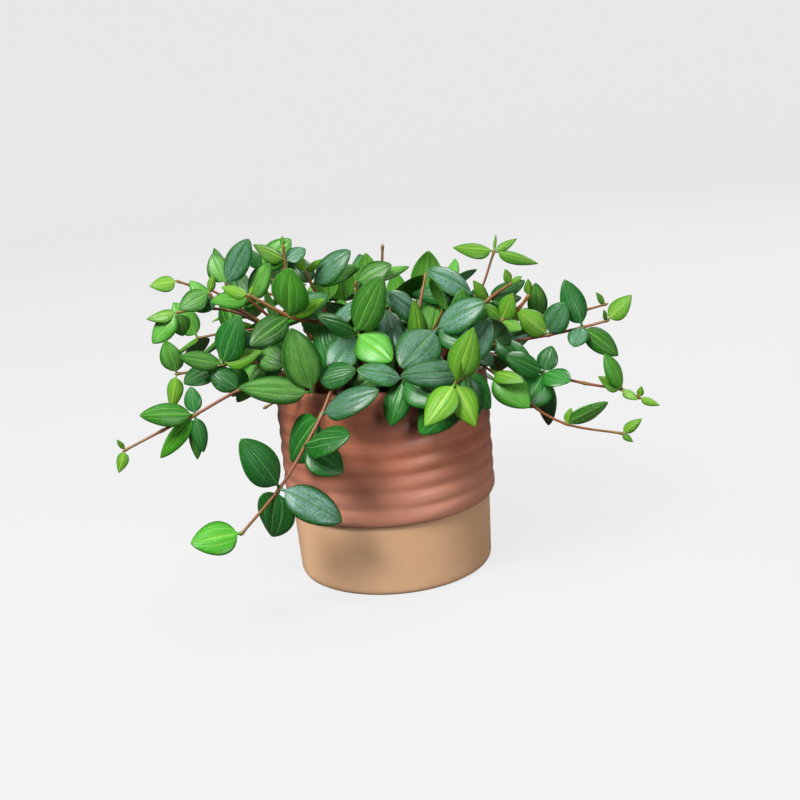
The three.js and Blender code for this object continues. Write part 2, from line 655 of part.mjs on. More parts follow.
// The model
const finishes = {
  pot: new THREE.MeshStandardMaterial({ color: 0xa8705a, roughness: 0.5, metalness: 0 }),
  soil: new THREE.MeshStandardMaterial({ color: 0x2b211b, roughness: 1, metalness: 0 }),
  stem: new THREE.MeshStandardMaterial({ color: 0x3c7a36, roughness: 0.4, metalness: 0 }),
};

function addPiece(group, name, geometry, material) {
  const mesh = new THREE.Mesh(geometry, material);
  mesh.name = name;
  group.add(mesh);
}

const { stems, leaves } = layOut();
const plant = new THREE.Group();
addPiece(plant, "pot", makePot(), finishes.pot);
addPiece(plant, "soil", makeSoil(stems), finishes.soil);
for (const stem of stems) {
  let solid = stemSolid(stem);
  for (const leaf of leaves) {
    if (leaf.stem === stem) {
      solid = solid.add(leafSolid(leaf));
    }
  }
  addPiece(plant, `stem_${stem.name}`, toGeometry(solid), finishes.stem);
}

export default plant;
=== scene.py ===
"""A trailing peperomia in a two-tone stoneware pot.

The pot stands on its foot at the origin, with +Z up and -Y to the front. The pieces follow the order
in which the plant is potted: the pot, the soil, the kinds of leaf, then the stems that carry them.
Sizes are in millimetres until a mesh is made.
"""

import json
from math import ceil, cos, exp, pi, radians, sin, sqrt

import bpy
import numpy as np
from mathutils import Matrix, Vector
from numpy.linalg import norm

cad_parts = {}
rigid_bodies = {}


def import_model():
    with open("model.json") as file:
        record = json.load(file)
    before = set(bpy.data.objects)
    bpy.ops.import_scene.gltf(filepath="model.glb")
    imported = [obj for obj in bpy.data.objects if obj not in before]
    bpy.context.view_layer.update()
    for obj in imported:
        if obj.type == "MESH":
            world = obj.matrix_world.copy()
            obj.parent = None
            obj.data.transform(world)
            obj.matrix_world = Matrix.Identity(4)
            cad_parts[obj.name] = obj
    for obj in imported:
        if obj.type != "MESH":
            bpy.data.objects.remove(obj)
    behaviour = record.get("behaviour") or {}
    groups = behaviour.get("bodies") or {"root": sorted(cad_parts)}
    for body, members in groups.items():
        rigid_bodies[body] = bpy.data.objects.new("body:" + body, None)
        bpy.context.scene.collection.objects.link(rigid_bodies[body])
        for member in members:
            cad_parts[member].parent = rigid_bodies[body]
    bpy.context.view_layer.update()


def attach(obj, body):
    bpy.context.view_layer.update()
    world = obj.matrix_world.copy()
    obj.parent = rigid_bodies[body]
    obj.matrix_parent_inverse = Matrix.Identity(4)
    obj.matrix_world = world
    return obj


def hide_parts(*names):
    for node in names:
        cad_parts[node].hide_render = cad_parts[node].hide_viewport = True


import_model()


# Pot: one thrown and turned stoneware piece, a bare tan band below, and a thicker wall above it that
# is dipped in a satin terracotta glaze. The finger ribs stay in the wall from throwing.

FOOT_RADIUS = 57.7
BAND_RADIUS = 59.1
SEAM_HEIGHT = 42.4
GLAZE_RADIUS = 62.5
RIM_RADIUS = 61.8
RIM_HEIGHT = 119.2
LIP_RADIUS = 57.4
INNER_FOOT_RADIUS = 53.5
FLOOR_HEIGHT = 8.5
INNER_CORNER_HEIGHT = 12.0
FIRST_RIB_HEIGHT = 48.5
RIB_PITCH = 9.6
RIB_DEPTH = 0.55
RIB_ROUNDNESS = 1.4
MM = 0.001


def set_out(name, data):
    """An object that stands in the scene."""
    made = bpy.data.objects.new(name, data)
    bpy.context.scene.collection.objects.link(made)
    return made


def new_piece(name, points, edges, faces):
    """A smooth piece of the scene from points in millimetres."""
    mesh = bpy.data.meshes.new(name)
    mesh.from_pydata((np.array(points) * MM).tolist(), edges, faces)
    mesh.polygons.foreach_set("use_smooth", [True] * len(mesh.polygons))
    return set_out(name, mesh)


def turned_piece(name, profile, sides, wander=None):
    """A closed piece of revolution from (radius, height) points that start and end on the axis."""
    points, faces = [], []
    for radius, height in profile[1:-1]:
        for side in range(sides):
            angle = 2 * pi * side / sides
            out, up = wander(radius, height, angle) if wander else (radius, height)
            points.append((out * cos(angle), out * sin(angle), up))
    bottom, top = len(points), len(points) + 1
    last_ring = bottom - sides
    points += [(0, 0, profile[0][1]), (0, 0, profile[-1][1])]
    around = [(side, (side + 1) % sides) for side in range(sides)]
    for low in range(0, last_ring, sides):
        high = low + sides
        faces += [(low + side, low + after, high + after, high + side) for side, after in around]
    for side, after in around:
        faces += [(bottom, after, side), (top, last_ring + side, last_ring + after)]
    return new_piece(name, points, [], faces)


def moulding(radius, height, steps):
    """Points of a profile, given by how far they lie outwards and upwards from one place."""
    return [(radius + out, height + up) for out, up in steps]


def straight_wall(start, end, first, last, count):
    """The points from first to last of those that part a wall into a count of equal steps."""
    return [tuple(a + (b - a) * (step / count) for a, b in zip(start, end))
            for step in range(first, last + 1)]


def thrown_by_hand(radius, height, angle):
    """The ribs wander by a few tenths of a millimetre around the wall, as fingers do."""
    if not SEAM_HEIGHT + 3 < height < RIM_HEIGHT - 3 or radius < GLAZE_RADIUS - 2:
        return radius, height
    drift = 0.35 * sin(angle + 0.09 * height) + 0.25 * sin(2 * angle - 0.23 * height + 1)
    swell = 0.12 * sin(3 * angle + 0.31 * height) + 0.08 * sin(7 * angle - 0.6 * height)
    return min(radius + swell, GLAZE_RADIUS), height + drift


pot_profile = [(0, 0), (20, 0)]
pot_profile += moulding(FOOT_RADIUS, 0, [(-3, 0), (-1.9, 0.15), (-0.9, 0.8), (-0.3, 1.8), (0, 3)])
pot_profile += straight_wall((FOOT_RADIUS, 3), (BAND_RADIUS, SEAM_HEIGHT), 1, 13, 14)
pot_profile += moulding(BAND_RADIUS, SEAM_HEIGHT, [(-0.25, -0.15), (0.3, 0.15), (1.6, 0.5), (2.3, 1.1)])
pot_profile += [(GLAZE_RADIUS - 0.75, SEAM_HEIGHT + 2.1)]
height = SEAM_HEIGHT + 3.2
while height < RIM_HEIGHT - 2.4:
    above = height - FIRST_RIB_HEIGHT
    crest = GLAZE_RADIUS + (RIM_RADIUS - GLAZE_RADIUS) * (above / (RIM_HEIGHT - FIRST_RIB_HEIGHT))
    groove = RIB_DEPTH * (1 - abs(cos(pi * above / RIB_PITCH)) ** RIB_ROUNDNESS)
    pot_profile.append((crest - groove, height))
    height += 0.6
pot_profile += moulding(RIM_RADIUS, RIM_HEIGHT, [(0, -2.2), (-0.3, -1.2), (-0.9, -0.4), (-1.9, 0)])
pot_profile += moulding(LIP_RADIUS, RIM_HEIGHT, [(1.5, -0.1), (0.6, -0.7), (0.1, -1.7)])
pot_profile += straight_wall((LIP_RADIUS, RIM_HEIGHT - 2.8), (INNER_FOOT_RADIUS, INNER_CORNER_HEIGHT),
                             0, 10, 10)
pot_profile += moulding(INNER_FOOT_RADIUS, FLOOR_HEIGHT, [(-1.2, 1), (-3.5, 0)]) + [(0, FLOOR_HEIGHT)]
pot = turned_piece("thrown_pot", pot_profile, 160, thrown_by_hand)


def paint(code):
    """Linear colour of a paint chip given as red, green and blue in hexadecimal."""
    shares = [int(code[k:k + 2], 16) / 255 for k in (0, 2, 4)]
    return (*[s / 12.92 if s < 0.04045 else ((s + 0.055) / 1.055) ** 2.4 for s in shares], 1.0)


def add_node(tree, kind, sockets=None, **settings):
    """A node's reading, with its settings made and each named or numbered socket linked or set."""
    node = tree.nodes.new(kind)
    for label, value in settings.items():
        setattr(node, label, value)
    for label, value in (sockets or {}).items():
        for source in value if isinstance(value, list) else [value]:
            if isinstance(source, Reading):
                tree.links.new(source.node.outputs[source.output], node.inputs[label])
            else:
                node.inputs[label].default_value = source
    return Reading(node)


class Reading:
    """What a node gives. Arithmetic on it adds nodes, and [label] picks another of its outputs."""

    def __init__(self, node, output=0):
        self.node, self.tree, self.output = node, node.id_data, output

    def __getitem__(self, output):
        return Reading(self.node, output)

    def reckon(self, operation, *others):
        values = dict(enumerate((self, *others)))
        return add_node(self.tree, "ShaderNodeMath", values, operation=operation)

    def __add__(self, other):
        return self.reckon("ADD", other)

    def __sub__(self, other):
        return self.reckon("SUBTRACT", other)

    def __mul__(self, other):
        return self.reckon("MULTIPLY", other)

    def __truediv__(self, other):
        return self.reckon("DIVIDE", other)

    def __abs__(self):
        return self.reckon("ABSOLUTE")

    def scaled(self, factor):
        """This vector times a factor."""
        return add_node(self.tree, "ShaderNodeVectorMath", {0: self, "Scale": factor}, operation="SCALE")

    def fade(self, start, end, low=0.0, high=1.0):
        """A smooth step from low to high while this goes from start to end."""
        sockets = {"Value": self, "From Min": start, "From Max": end, "To Min": low, "To Max": high}
        return add_node(self.tree, "ShaderNodeMapRange", sockets, interpolation_type="SMOOTHSTEP")

    def blend(self, first, second):
        """Two colours mixed by this share, each a reading or a paint chip's code."""
        sockets = {0: self, 6: first, 7: second}
        sockets.update({k: paint(code) for k, code in sockets.items() if isinstance(code, str)})
        return add_node(self.tree, "ShaderNodeMix", sockets, data_type="RGBA")[2]

    def speckle(self, scale, detail=4.0, roughness=0.55):
        """Even noise from 0 to 1 over this place, at a scale per metre."""
        sockets = {"Vector": self, "Scale": scale, "Detail": detail, "Roughness": roughness}
        return add_node(self.tree, "ShaderNodeTexNoise", sockets)["Fac"]

    def bump(self, strength, depth):
        """Relief of this height, with its depth in metres."""
        sockets = {"Height": self, "Strength": strength, "Distance": depth}
        return add_node(self.tree, "ShaderNodeBump", sockets)


def new_finish(name):
    """A material without its surface yet, its tree, and the place on the piece in metres."""
    finish = bpy.data.materials.new(name)
    finish.use_nodes = True
    finish.node_tree.nodes.clear()
    return finish, finish.node_tree, add_node(finish.node_tree, "ShaderNodeTexCoord")["Object"]


def cover(finish, sockets):
    """Gives a material its surface, with each named socket linked or set."""
    surface = add_node(finish.node_tree, "ShaderNodeBsdfPrincipled", sockets)
    add_node(finish.node_tree, "ShaderNodeOutputMaterial", {0: surface})
    return finish


stoneware, tree, place = new_finish("glazed_stoneware")
up = add_node(tree, "ShaderNodeSeparateXYZ", {0: place})["Z"]
seam_line = SEAM_HEIGHT * MM
seam_wander = place.speckle(90) * 0.0008 + up
glazed = seam_wander.fade(seam_line + 0.0003, seam_line + 0.0008)
# A thin dark line along the underside of the glaze's overhang, just above the bare band: a painted shadow
# under the overhang
seam_shadow = (seam_wander.fade(seam_line - 0.0004, seam_line + 0.0003)
        * seam_wander.fade(seam_line + 0.0004, seam_line + 0.0016, 1.0, 0.0))
rib_turn = (up - FIRST_RIB_HEIGHT * MM) * (2 * pi / (RIB_PITCH * MM))
rib_crest = rib_turn.reckon("COSINE") * 0.5 + 0.5
cloud = place.speckle(22, 5.0, 0.6)
grain = place.speckle(420, 3.0, 0.7)
pooled = cloud + rib_crest * 0.08
glaze_colour = pooled.fade(0.3, 0.75).blend("925238", "b26c52")
# The glazed wall is painted lighter towards its bottom: painted light bounced up from below, with the wall
# higher up in the shade of the leaves
lit_from_below = up.fade(0.05, 0.085, 0.5, 0.0)
glaze_colour = lit_from_below.blend(glaze_colour, "cf957e")
# Pale lines along the rib crests: partly the glaze thinning over the crests, partly a painted highlight
crest_highlight_and_thin_glaze = rib_crest.fade(0.9, 1.0, 0.0, 0.15)
glaze_colour = crest_highlight_and_thin_glaze.blend(glaze_colour, "c08a70")
glaze_colour = grain.fade(0.35, 0.75, 0.0, 0.18).blend(glaze_colour, "b5775d")
pores = place.speckle(900, 2.0).fade(0.66, 0.74)
clay_colour = cloud.fade(0.3, 0.7).blend("d4aa84", "cda17a")
clay_colour = (pores * 0.2).blend(clay_colour, "a5794f")
wall_colour = glazed.blend(clay_colour, glaze_colour)
stretched = add_node(tree, "ShaderNodeMapping", {"Vector": place, "Scale": (1.0, 1.0, 14.0)})
turning_lines = stretched.speckle(60, 3.0)
cover(stoneware, {
    # The wall's colour is darkened by the painted shadow under the glaze's edge
    "Base Color": (seam_shadow * 0.8).blend(wall_colour, "5c3622"),
    "Roughness": glazed.fade(0.0, 1.0, 0.82, grain * 0.12 + 0.34),
    "Normal": (turning_lines * 0.6 + grain * 0.4).bump(0.3, 0.0004)})
pot.data.materials.append(stoneware)
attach(pot, "root")
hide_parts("pot")


# Soil: a dark peat and bark mix, filled to a finger's width below the rim and a little higher in the
# middle. Bark chips and perlite crumbs lie loose on top.

SOIL_TOP = 103.0
SOIL_EDGE_DROP = 1.5
FIT_GAP = 0.3
HOLE_DEPTH = 16.0


def crumbled(radius, height, angle):
    """Small heaps and hollows over the soil's top."""
    if height < SOIL_TOP - 3:
        return radius, height
    heap = sin(0.21 * radius + 3 * angle) + sin(0.37 * radius - 5 * angle + 2)
    heap += 0.7 * sin(0.8 * radius + 9 * angle)
    return radius, height - 0.5 + 0.4 * heap * min(1, radius / 12)


soil_edge = SOIL_TOP - SOIL_EDGE_DROP
share = (soil_edge - INNER_CORNER_HEIGHT) / (RIM_HEIGHT - 2.4 - INNER_CORNER_HEIGHT)
pot_radius = INNER_FOOT_RADIUS + (LIP_RADIUS - INNER_FOOT_RADIUS) * share
soil_profile = [(0, FLOOR_HEIGHT + FIT_GAP), (INNER_FOOT_RADIUS - 3.7, FLOOR_HEIGHT + FIT_GAP),
                (INNER_FOOT_RADIUS - FIT_GAP, INNER_CORNER_HEIGHT + FIT_GAP),
                (pot_radius - FIT_GAP, soil_edge)]
for radius in range(53, 1, -2):
    soil_profile.append((radius, SOIL_TOP if radius < 50 else soil_edge + (53 - radius) * 0.4))
soil_profile.append((0, SOIL_TOP - 0.5))
soil = turned_piece("potting_soil", soil_profile, 96, crumbled)


def new_growth_rule(name, values):
    """A Geometry Nodes tree with an input for the geometry and one for each named value."""
    tree = bpy.data.node_groups.new(name, "GeometryNodeTree")
    tree.interface.new_socket("Geometry", in_out="INPUT", socket_type="NodeSocketGeometry")
    tree.interface.new_socket("Geometry", in_out="OUTPUT", socket_type="NodeSocketGeometry")
    for label, value in values.items():
        kind = type(value).__name__.capitalize()
        tree.interface.new_socket(label, in_out="INPUT", socket_type=f"NodeSocket{kind}")
    return tree, add_node(tree, "NodeGroupInput")


def coat(shape, material, chosen=True):
    """A shape with a material on all of it, or on the faces that are chosen."""
    sockets = {"Geometry": shape, "Selection": chosen, "Material": material}
    return add_node(shape.tree, "GeometryNodeSetMaterial", sockets)


def run_rule(piece, tree, values):
    """Sets the rule's inputs on a piece, and keeps what it makes as a plain mesh."""
    step = piece.modifiers.new(tree.name, "NODES")
    step.node_group = tree
    for item in tree.interface.items_tree:
        if item.in_out == "INPUT" and item.name in values:
            step[item.identifier] = values[item.name]
    graph = bpy.context.evaluated_depsgraph_get()
    made = bpy.data.meshes.new_from_object(
        piece.evaluated_get(graph), preserve_all_data_layers=True, depsgraph=graph)
    piece.modifiers.remove(step)
    piece.data = made


def from_earth(name, dark, light, roughness):
    """An earthy material that runs between two colours."""
    finish, _, place = new_finish(name)
    mottle = place.speckle(260, 6.0, 0.65).fade(0.35, 0.68)
    return cover(finish, {"Base Color": mottle.blend(dark, light), "Roughness": roughness,
                          "Normal": place.speckle(900, 5.0, 0.7).bump(0.9, 0.0008)})


top_dressing = {
    "Crumbs per square metre": 90000.0, "Crumb size": 0.0016, "Perlite share": 0.06,
    "Peat": from_earth("moist_peat", "140e0a", "3b2a20", 0.95),
    "Bark": from_earth("bark_chip", "2a1a10", "6b4a33", 0.85),
    "Perlite": from_earth("perlite_crumb", "b9b3a6", "e4e0d6", 0.9)}
tree, given = new_growth_rule("loose_crumbs", top_dressing)
facing = add_node(tree, "ShaderNodeSeparateXYZ", {0: add_node(tree, "GeometryNodeInputNormal")})
on_top = add_node(tree, "FunctionNodeCompare", {0: facing["Z"], 1: 0.6}, operation="GREATER_THAN")
scattered = add_node(tree, "GeometryNodeDistributePointsOnFaces", {
    "Mesh": given["Geometry"], "Selection": on_top, "Density": given["Crumbs per square metre"],
    "Seed": 4})
crumb = add_node(tree, "GeometryNodeMeshIcoSphere", {"Radius": 1.0, "Subdivisions": 1})
turn = add_node(tree, "FunctionNodeRandomValue", {0: (0, 0, 0), 1: (6.28, 6.28, 6.28), "Seed": 5},
                data_type="FLOAT_VECTOR")
size = add_node(tree, "FunctionNodeRandomValue", {0: (0.5, 0.3, 0.25), 1: (1.3, 1.0, 0.6), "Seed": 6},
                data_type="FLOAT_VECTOR")
strewn = add_node(tree, "GeometryNodeInstanceOnPoints", {
    "Points": scattered, "Instance": crumb, "Rotation": turn, "Scale": size.scaled(given["Crumb size"])})
kind_draw = add_node(tree, "FunctionNodeRandomValue", {2: 0.0, 3: 1.0, "Seed": 8})[1]
marked = add_node(tree, "GeometryNodeStoreNamedAttribute", {
    "Geometry": strewn, "Name": "kind", "Value": kind_draw}, domain="INSTANCE")
crumbs = add_node(tree, "GeometryNodeRealizeInstances", {0: marked})
kind = add_node(tree, "GeometryNodeInputNamedAttribute", {"Name": "kind"})
white = add_node(tree, "FunctionNodeCompare", {0: kind, 1: given["Perlite share"]}, operation="LESS_THAN")
chips = coat(coat(crumbs, given["Bark"]), given["Perlite"], white)
bed = coat(given["Geometry"], given["Peat"])
whole = add_node(tree, "GeometryNodeJoinGeometry", {0: [bed, chips]})
add_node(tree, "NodeGroupOutput", {0: whole})
run_rule(soil, tree, top_dressing)
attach(soil, "root")
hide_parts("soil")


# Leaves: fleshy, waxy blades in four ages. Each arches from its short stalk to its tip and hangs a
# little towards its edges. The midrib and two side veins run from base to tip and sink into the face.

# Along a leaf these are shares of its length, and across it shares of its half width
PETIOLE_SHARE = 0.1
ROUND_BASE = 0.5
SIDE_VEIN = 0.44
VEIN_SAMPLES = [0.07, 0.17, 0.3, 0.38, SIDE_VEIN, 0.5, 0.6, 0.76, 0.9, 1.0]
# Sizes of a usual leaf, as shares of its length
USUAL_BREADTH = 0.58
STALK_WIDTH = 0.026
STALK_THICKNESS = 0.02
EDGE_THICKNESS = 0.0045
FLESH_THICKNESS = 0.0125
MIDRIB_SINK = 0.02
SIDE_VEIN_SINK = 0.003
INNER_SWELL = 0.005
OUTER_SWELL = 0.002
# How far the underside's rows lie from the face's on the map of a blade
UNDERSIDE = 3

# The turn of each age's arch in radians, how far its edges hang as a share of the half width, and how
# drawn out its tip is
deep = {"kind": 0, "bend": 0.7, "cup": 0.3, "point": 0.74}
green = {"kind": 1, "bend": 0.6, "cup": 0.25, "point": 0.78}
silver = {"kind": 2, "bend": 0.65, "cup": 0.22, "point": 0.68}
young = {"kind": 3, "bend": 0.45, "cup": 0.35, "point": 0.95}


def outline_share(along, point):
    """The blade's half width at a share of its length, against its widest."""
    u = np.clip((along - PETIOLE_SHARE) / (1 - PETIOLE_SHARE), 0, 1)
    fullest = ROUND_BASE / (ROUND_BASE + point)
    peak = fullest ** ROUND_BASE * (1 - fullest) ** point
    return u ** ROUND_BASE * (1 - u) ** point / peak


def arched(bend, length, along, lift):
    """How far forward and how high a place on an arched leaf is, when it is lifted off the arch."""
    scale = length / (2 * sin(bend / 2))
    angle = bend * (along - 0.5)
    forward = scale * (np.sin(angle) + sin(bend / 2)) + lift * np.sin(angle)
    return forward, scale * (np.cos(angle) - cos(bend / 2)) + lift * np.cos(angle)


def leaf_form(age, steps=22):
    """A leaf of unit length along X and unit breadth along Y, with its upper face to +Z."""
    points, faces, corner_map = [], [], []
    across = [-reach for reach in VEIN_SAMPLES[::-1]] + [0.0] + VEIN_SAMPLES
    edge = len(across) - 1

    def lay(along, across, side):
        """A point of the blade, on its upper (1) or lower (-1) side or on its edge (0)."""
        blade = float(outline_share(along, age["point"])) * 0.5
        joining = min(1.0, max(0.0, (along - 0.07) / 0.09))
        width = max(blade, STALK_WIDTH / USUAL_BREADTH * (1 - 0.3 * joining)) if along < 0.995 else blade
        fleshy = EDGE_THICKNESS + FLESH_THICKNESS * (1 - across * across) * (1 - 0.5 * along)
        round_stalk = STALK_THICKNESS * sqrt(max(0.0, 1 - across * across))
        fullness = sin(pi * min(1, max(0, (along - 0.1) / 0.9))) ** 0.5
        reach = abs(across)
        sunk = MIDRIB_SINK * exp(-(reach / 0.13) ** 2)
        sunk += SIDE_VEIN_SINK * exp(-((reach - SIDE_VEIN) / 0.06) ** 2)
        puffed = INNER_SWELL * sin(pi * min(1, reach / SIDE_VEIN)) ** 2
        puffed += OUTER_SWELL * sin(pi * max(0, (reach - SIDE_VEIN) / (1 - SIDE_VEIN)))
        lift = (puffed - sunk) * fullness - age["cup"] * USUAL_BREADTH * blade * across * across
        lift += side * (round_stalk + (fleshy - round_stalk) * joining)
        forward, rise = arched(age["bend"], 1.0, along, lift)
        points.append((forward, width * across, rise))
        return len(points) - 1

    rows = []
    for step in range(steps):
        along = 0.55 * (step / steps) + 0.45 * (0.5 - 0.5 * cos(pi * step / steps))
        upper = [lay(along, across[k], int(0 < k < edge)) for k in range(edge + 1)]
        lower = [upper[0]] + [lay(along, across[k], -1) for k in range(1, edge)] + [upper[edge]]
        rows.append((along, across, upper, lower))
    tip = [lay(1.0, 0.0, 0)] * (edge + 1)
    rows.append((1.0, [0.0] * (edge + 1), tip, tip))
    for low, high in zip(rows[:-1], rows[1:]):
        for k in range(edge):
            round_upper = [(low, k), (high, k), (high, k + 1), (low, k + 1)]
            round_lower = [(low, k), (low, k + 1), (high, k + 1), (high, k)]
            for side, corners in ((0, round_upper), (1, round_lower)):
                ring = dict.fromkeys((row[2 + side][j], row[0], UNDERSIDE * side + row[1][j])
                                     for row, j in corners)
                faces.append([point for point, _, _ in ring])
                corner_map += [(along, reach) for _, along, reach in ring]
    _, _, upper, lower = rows[0]
    faces.append(upper + lower[-2:0:-1])
    corner_map += [(0.0, 0.0)] * len(faces[-1])
    mesh = bpy.data.meshes.new(f"leaf_{age['kind']}")
    mesh.from_pydata(points, [], faces)
    mesh.uv_layers.new(name="blade").data.foreach_set("uv", np.array(corner_map).ravel())
    mesh.polygons.foreach_set("use_smooth", [True] * len(faces))
    return bpy.data.objects.new(mesh.name, mesh)


leaf_forms = bpy.data.collections.new("leaf_forms")
for age in (deep, green, silver, young):
    leaf_forms.objects.link(leaf_form(age))


# A blade's masks for its veins, bands and edges, read from its length and breadth
blade_veins = tree = bpy.data.node_groups.new("blade_veins", "ShaderNodeTree")
for label in ("Side vein width", "Wander"):
    tree.interface.new_socket(label, in_out="INPUT", socket_type="NodeSocketFloat")
given = add_node(tree, "NodeGroupInput")
blade = add_node(tree, "ShaderNodeSeparateXYZ", {0: add_node(tree, "ShaderNodeUVMap", uv_map="blade")})
leaf_draw = add_node(tree, "ShaderNodeAttribute", attribute_name="leaf_draw")["Fac"]
apart = leaf_draw * 37.0
along = blade["X"]
under = blade["Y"].reckon("GREATER_THAN", UNDERSIDE / 2)
across = under * -UNDERSIDE + blade["Y"]
true_reach = abs(across)
cloud = add_node(tree, "ShaderNodeCombineXYZ", {0: along, 1: across, 2: apart}).speckle(3.0, 3.0)
reach = abs((cloud - 0.5) * given["Wander"] + across)
midrib = (true_reach / (along * -0.03 + 0.05)).fade(0.4, 1.2, 1.0, 0.0)
off_side = abs(reach - SIDE_VEIN)
side = (off_side / given["Side vein width"]).fade(0.35, 1.2, 0.8, 0.0)
lines = midrib.reckon("MAXIMUM", side)
slanted = add_node(tree, "ShaderNodeCombineXYZ", {0: reach * -0.5 + along, 1: across * 0.6, 2: apart})
cells = add_node(tree, "ShaderNodeTexVoronoi", {"Vector": slanted, "Scale": 11.0},
                 feature="DISTANCE_TO_EDGE")
fine = cells["Distance"].fade(0.01, 0.05, 1.0, 0.0)
glow = true_reach.fade(0.0, 0.32, 1.0, 0.0).reckon("MAXIMUM", off_side.fade(0.0, 0.12, 0.5, 0.0))
clear_of_veins = true_reach.fade(0.02, 0.1) * off_side.fade(0.0, 0.05, 0.5, 1.0)
# The bands between the veins, away from the edge and the tip, are where a sheen is painted into the leaf's
# colour
bands = clear_of_veins * true_reach.fade(0.6, 0.9, 1.0, 0.0) * along.fade(0.78, 0.98, 1.0, 0.1)
masks = {"Vein lines": lines, "Fine veins": fine, "Vein glow": glow, "Bands": bands,
         "Edge": true_reach.fade(0.66, 0.96), "Margin": true_reach.fade(0.93, 0.99),
         "Underside": under, "Height": lines * -1.0 + fine * -0.3, "Mottle": cloud,
         "Leaf draw": leaf_draw, "Band draw": (leaf_draw * 7.31).reckon("FRACT")}
for label in masks:
    tree.interface.new_socket(label, in_out="OUTPUT", socket_type="NodeSocketFloat")
add_node(tree, "NodeGroupOutput", masks)


def leaf_finish(name, palette, shares, gloss):
    """A waxy leaf surface, whose leaves vary from the dark to the light one of each pair of colours."""
    finish, tree, place = new_finish(name)
    dark, light, edge, dark_glow, light_glow, band, vein, under = palette.split()
    edge_share, glow_share, least_band, most_band, least_grain, vein_share = shares
    seen = add_node(tree, "ShaderNodeGroup", {"Side vein width": 0.022, "Wander": 0.06},
                    node_tree=blade_veins)
    grains = place.speckle(850, 4.0, 0.65)
    colour = seen["Leaf draw"].blend(dark, light)
    colour = (seen["Edge"] * edge_share).blend(colour, edge)
    glowing = seen["Leaf draw"].blend(dark_glow, light_glow)
    colour = (seen["Vein glow"] * glow_share).blend(colour, glowing)
    # The bands take a painted sheen, patchy and grainy, whose strength differs from leaf to leaf; it gives
    # the silver leaves most of their silvery look
    painted_sheen = seen["Mottle"].fade(0.25, 0.65, 0.45, 1.0)
    painted_sheen *= seen["Band draw"].fade(0.0, 1.0, least_band, most_band)
    painted_sheen *= grains.fade(0.36, 0.62, least_grain, 1.0)
    colour = (seen["Bands"] * painted_sheen).blend(colour, band)
    colour = (seen["Fine veins"] * (0.35 * vein_share)).blend(colour, vein)
    lines = seen["Vein lines"].reckon("MAXIMUM", seen["Margin"] * 0.7)
    colour = (lines * vein_share).blend(colour, vein)
    pale = (seen["Vein lines"] * 0.5).blend(under, vein)
    wax = seen["Bands"] * 0.1 + (grains * 0.3 + gloss)
    return cover(finish, {
        "Base Color": seen["Underside"].blend(colour, pale),
        "Roughness": seen["Underside"].fade(0.0, 1.0, wax, 0.62), "Specular IOR Level": 0.33,
        "Coat Weight": 0.1, "Coat Roughness": 0.15,
        "Normal": (grains * 0.5 + seen["Height"]).bump(0.6, 0.0004)})


# Each palette gives the blade from dark to light, its edge, the glow beside the veins from dark to
# light, the painted sheen in the bands, the veins and the underside. The shares say how strongly the
# edge, the glow, the faintest and the fullest painted sheen, its grain and the veins show.
leaf_finishes = {
    "Deep leaf": leaf_finish("deep_leaf", "043c08 126c0e 0a5c0a 0c4e0a 2a8018 2c6646 88b870 34742a",
                             (0.5, 0.4, 0.1, 0.45, 0.5, 0.46), 0.13),
    "Green leaf": leaf_finish("green_leaf", "064002 369010 0c5404 1e7004 6cb434 74b454 9ccc68 4c8c28",
                              (0.45, 0.4, 0.0, 0.6, 0.75, 0.46), 0.17),
    "Silver leaf": leaf_finish("silver_leaf", "0a4012 185a14 125614 104c18 207026 688e84 80ae78 52824e",
                               (0.55, 0.25, 0.45, 1.0, 0.3, 0.42), 0.17),
    "Young leaf": leaf_finish("young_leaf", "2a6a06 56920e 367606 5a9012 90b636 689c34 b8d474 76a230",
                              (0.45, 0.5, 0.0, 0.4, 0.8, 0.46), 0.22),
}


# Stems: wiry red-brown growth, a few of them thick and woody, that rises from the soil, crosses the
# rim and arches or trails. It swells at each joint, where a whorl of leaves grows.

PETIOLE_RADIUS = 0.8
JOINT_CLEAR = 6.0
LEAF_GAP = 1.8
OUTLINE_MARGIN = 0.5
STEM_LEAF_GAP = 1.0
STEM_STEM_GAP = 0.5
STEM_POT_GAP = 0.4
POT_GAP = 1.6
WALL_INNER = 56.5
STEM_STEP = 2.5
SKIN_STEP = 1.6
STEM_TAPER = 0.35
THINNEST_STEM = 0.75
KNUCKLE_REACH = 1.7
LEAF_LENGTHS = (27, 37)
TIP_LEAF_SHARE = 0.86
BREADTH_SHARES = (0.52, 0.64)
FRONT_LIGHT = np.array([0, -0.75, 0.66])
UPWARD = np.array([0, 0, 1.0])
# Leaves of one whorl, and those of one stem, may come close up to these shares of their lengths
WHORL_SHARE = 0.4
STEM_SHARE = 0.2

